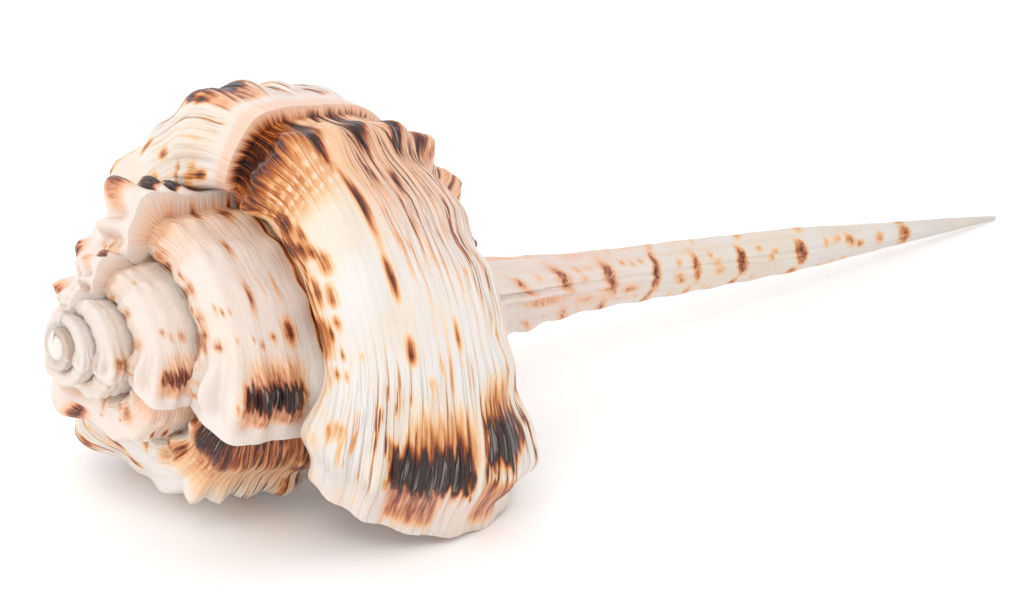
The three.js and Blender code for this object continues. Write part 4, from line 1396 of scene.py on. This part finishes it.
    def lay_down(self, shell: bpy.types.Object) -> None:
        """Turns the shell axis along +X, lowers the tail and puts the shell where the solid lies.

        Args:
            shell: the closed skin, still in shell axes.
        """
        turn = Matrix.Rotation(math.radians(self.tail_down), 4, "Y") @ Matrix.Rotation(math.pi / 2, 4, "Y")
        turn = turn @ Matrix.Rotation(math.radians(self.roll), 4, "Z")
        shell.matrix_world = Matrix.Translation(Vector(self.place) * MM) @ turn
        nothing_selected()
        shell.select_set(True)
        bpy.context.view_layer.objects.active = shell
        bpy.ops.object.transform_apply(location=True, rotation=True, scale=True)

    def paint(self, pick: np.ndarray, rows: np.ndarray) -> dict[Field, np.ndarray]:
        """Paints the colour fields on some columns.

        Args:
            pick: numbers of the columns.
            rows: rows of the vertices.

        Returns:
            Each field's value as columns and rows.
        """
        turn, stage, lip = self.turn[pick], self.stage[pick], self.lip[pick]
        return self.colours.fields(turn, stage, lip, rows, self.coiling.lips)

    def dress(self, shell: bpy.types.Object) -> None:
        """Gives the shell its natural finish."""
        shell.data.materials.clear()
        shell.data.materials.append(self.finish.build())


@dataclass(frozen=True)
class PhotoCamera:
    """The camera at the photograph's place, in millimetres and directions of the row frame."""

    place: tuple[float, float, float] = (-236.99, -314.97, 182.0)
    ahead: tuple[float, float, float] = (0.5375, 0.741, -0.4026)
    right: tuple[float, float, float] = (0.7994, -0.5997, -0.0366)
    view_angle: float = 12.4975
    sensor: float = 36.0

    def build(self) -> bpy.types.Object:
        """Adds the camera and makes it the scene's camera.

        Returns:
            The camera.
        """
        data = bpy.data.cameras.new("photo_camera")
        data.sensor_width = self.sensor
        data.lens = self.sensor / 2 / math.tan(math.radians(self.view_angle) / 2)
        data.clip_start = 0.01
        data.clip_end = 20
        camera = bpy.data.objects.new("photo_camera", data)
        ahead = Vector(self.ahead).normalized()
        right = Vector(self.right)
        right = (right - ahead * right.dot(ahead)).normalized()
        up = right.cross(ahead)
        turned = Matrix((right, up, -ahead)).transposed().to_4x4()
        camera.matrix_world = Matrix.Translation(Vector(self.place) * MM) @ turned
        bpy.context.scene.collection.objects.link(camera)
        bpy.context.scene.camera = camera
        return camera


@dataclass(frozen=True)
class WhiteStudio:
    """A plain white floor with plain soft light from above and both sides."""

    floor_size: float = 6.0
    floor_colour: str = "FFFFFF"
    floor_roughness: float = 0.9
    world_colour: str = "FFFFFF"
    world_strength: float = 0.98
    lamps: tuple[tuple[str, tuple[float, float, float], float, float], ...] = (
        ("key_softbox", (-0.45, -0.35, 0.75), 0.32, 0.95),
        ("fill_softbox", (0.55, -0.55, 0.45), 0.5, 0.9),
        ("spire_softbox", (-0.8, 0.1, 0.25), 1.0, 2.4),
        ("back_softbox", (0.1, 0.7, 0.6), 0.6, 1.2))

    def build(self) -> None:
        """Adds the floor, the world light and the softboxes."""
        nothing_selected()
        bpy.ops.mesh.primitive_plane_add(size=self.floor_size)
        floor = bpy.context.object
        floor.name = "studio_floor"
        paper = bpy.data.materials.new("matt_white_paper")
        paper.use_nodes = True
        shader = paper.node_tree.nodes["Principled BSDF"]
        shader.inputs["Base Color"].default_value = linear(self.floor_colour)
        shader.inputs["Roughness"].default_value = self.floor_roughness
        floor.data.materials.append(paper)
        world = bpy.data.worlds.new("studio_light")
        bpy.context.scene.world = world
        world.use_nodes = True
        sky = world.node_tree.nodes["Background"]
        sky.inputs["Color"].default_value = linear(self.world_colour)
        sky.inputs["Strength"].default_value = self.world_strength
        for name, place, size, power in self.lamps:
            data = bpy.data.lights.new(name, "AREA")
            data.shape = "DISK"
            data.size = size
            data.energy = power
            lamp = bpy.data.objects.new(name, data)
            lamp.location = place
            lamp.rotation_euler = (-Vector(place)).to_track_quat("-Z", "Y").to_euler()
            bpy.context.scene.collection.objects.link(lamp)


def main() -> None:
    """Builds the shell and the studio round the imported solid."""
    logging.basicConfig(level=logging.INFO, format="%(name)s: %(message)s")
    bpy.context.scene.view_settings.view_transform = "Standard"
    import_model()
    PhotoCamera().build()
    WhiteStudio().build()
    shell = MurexShell().build()
    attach(shell, "root")
    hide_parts("murex_shell")
    LOG.info("%s: %d faces", shell.name, len(shell.data.polygons))


if __name__ == "__main__":
    main()
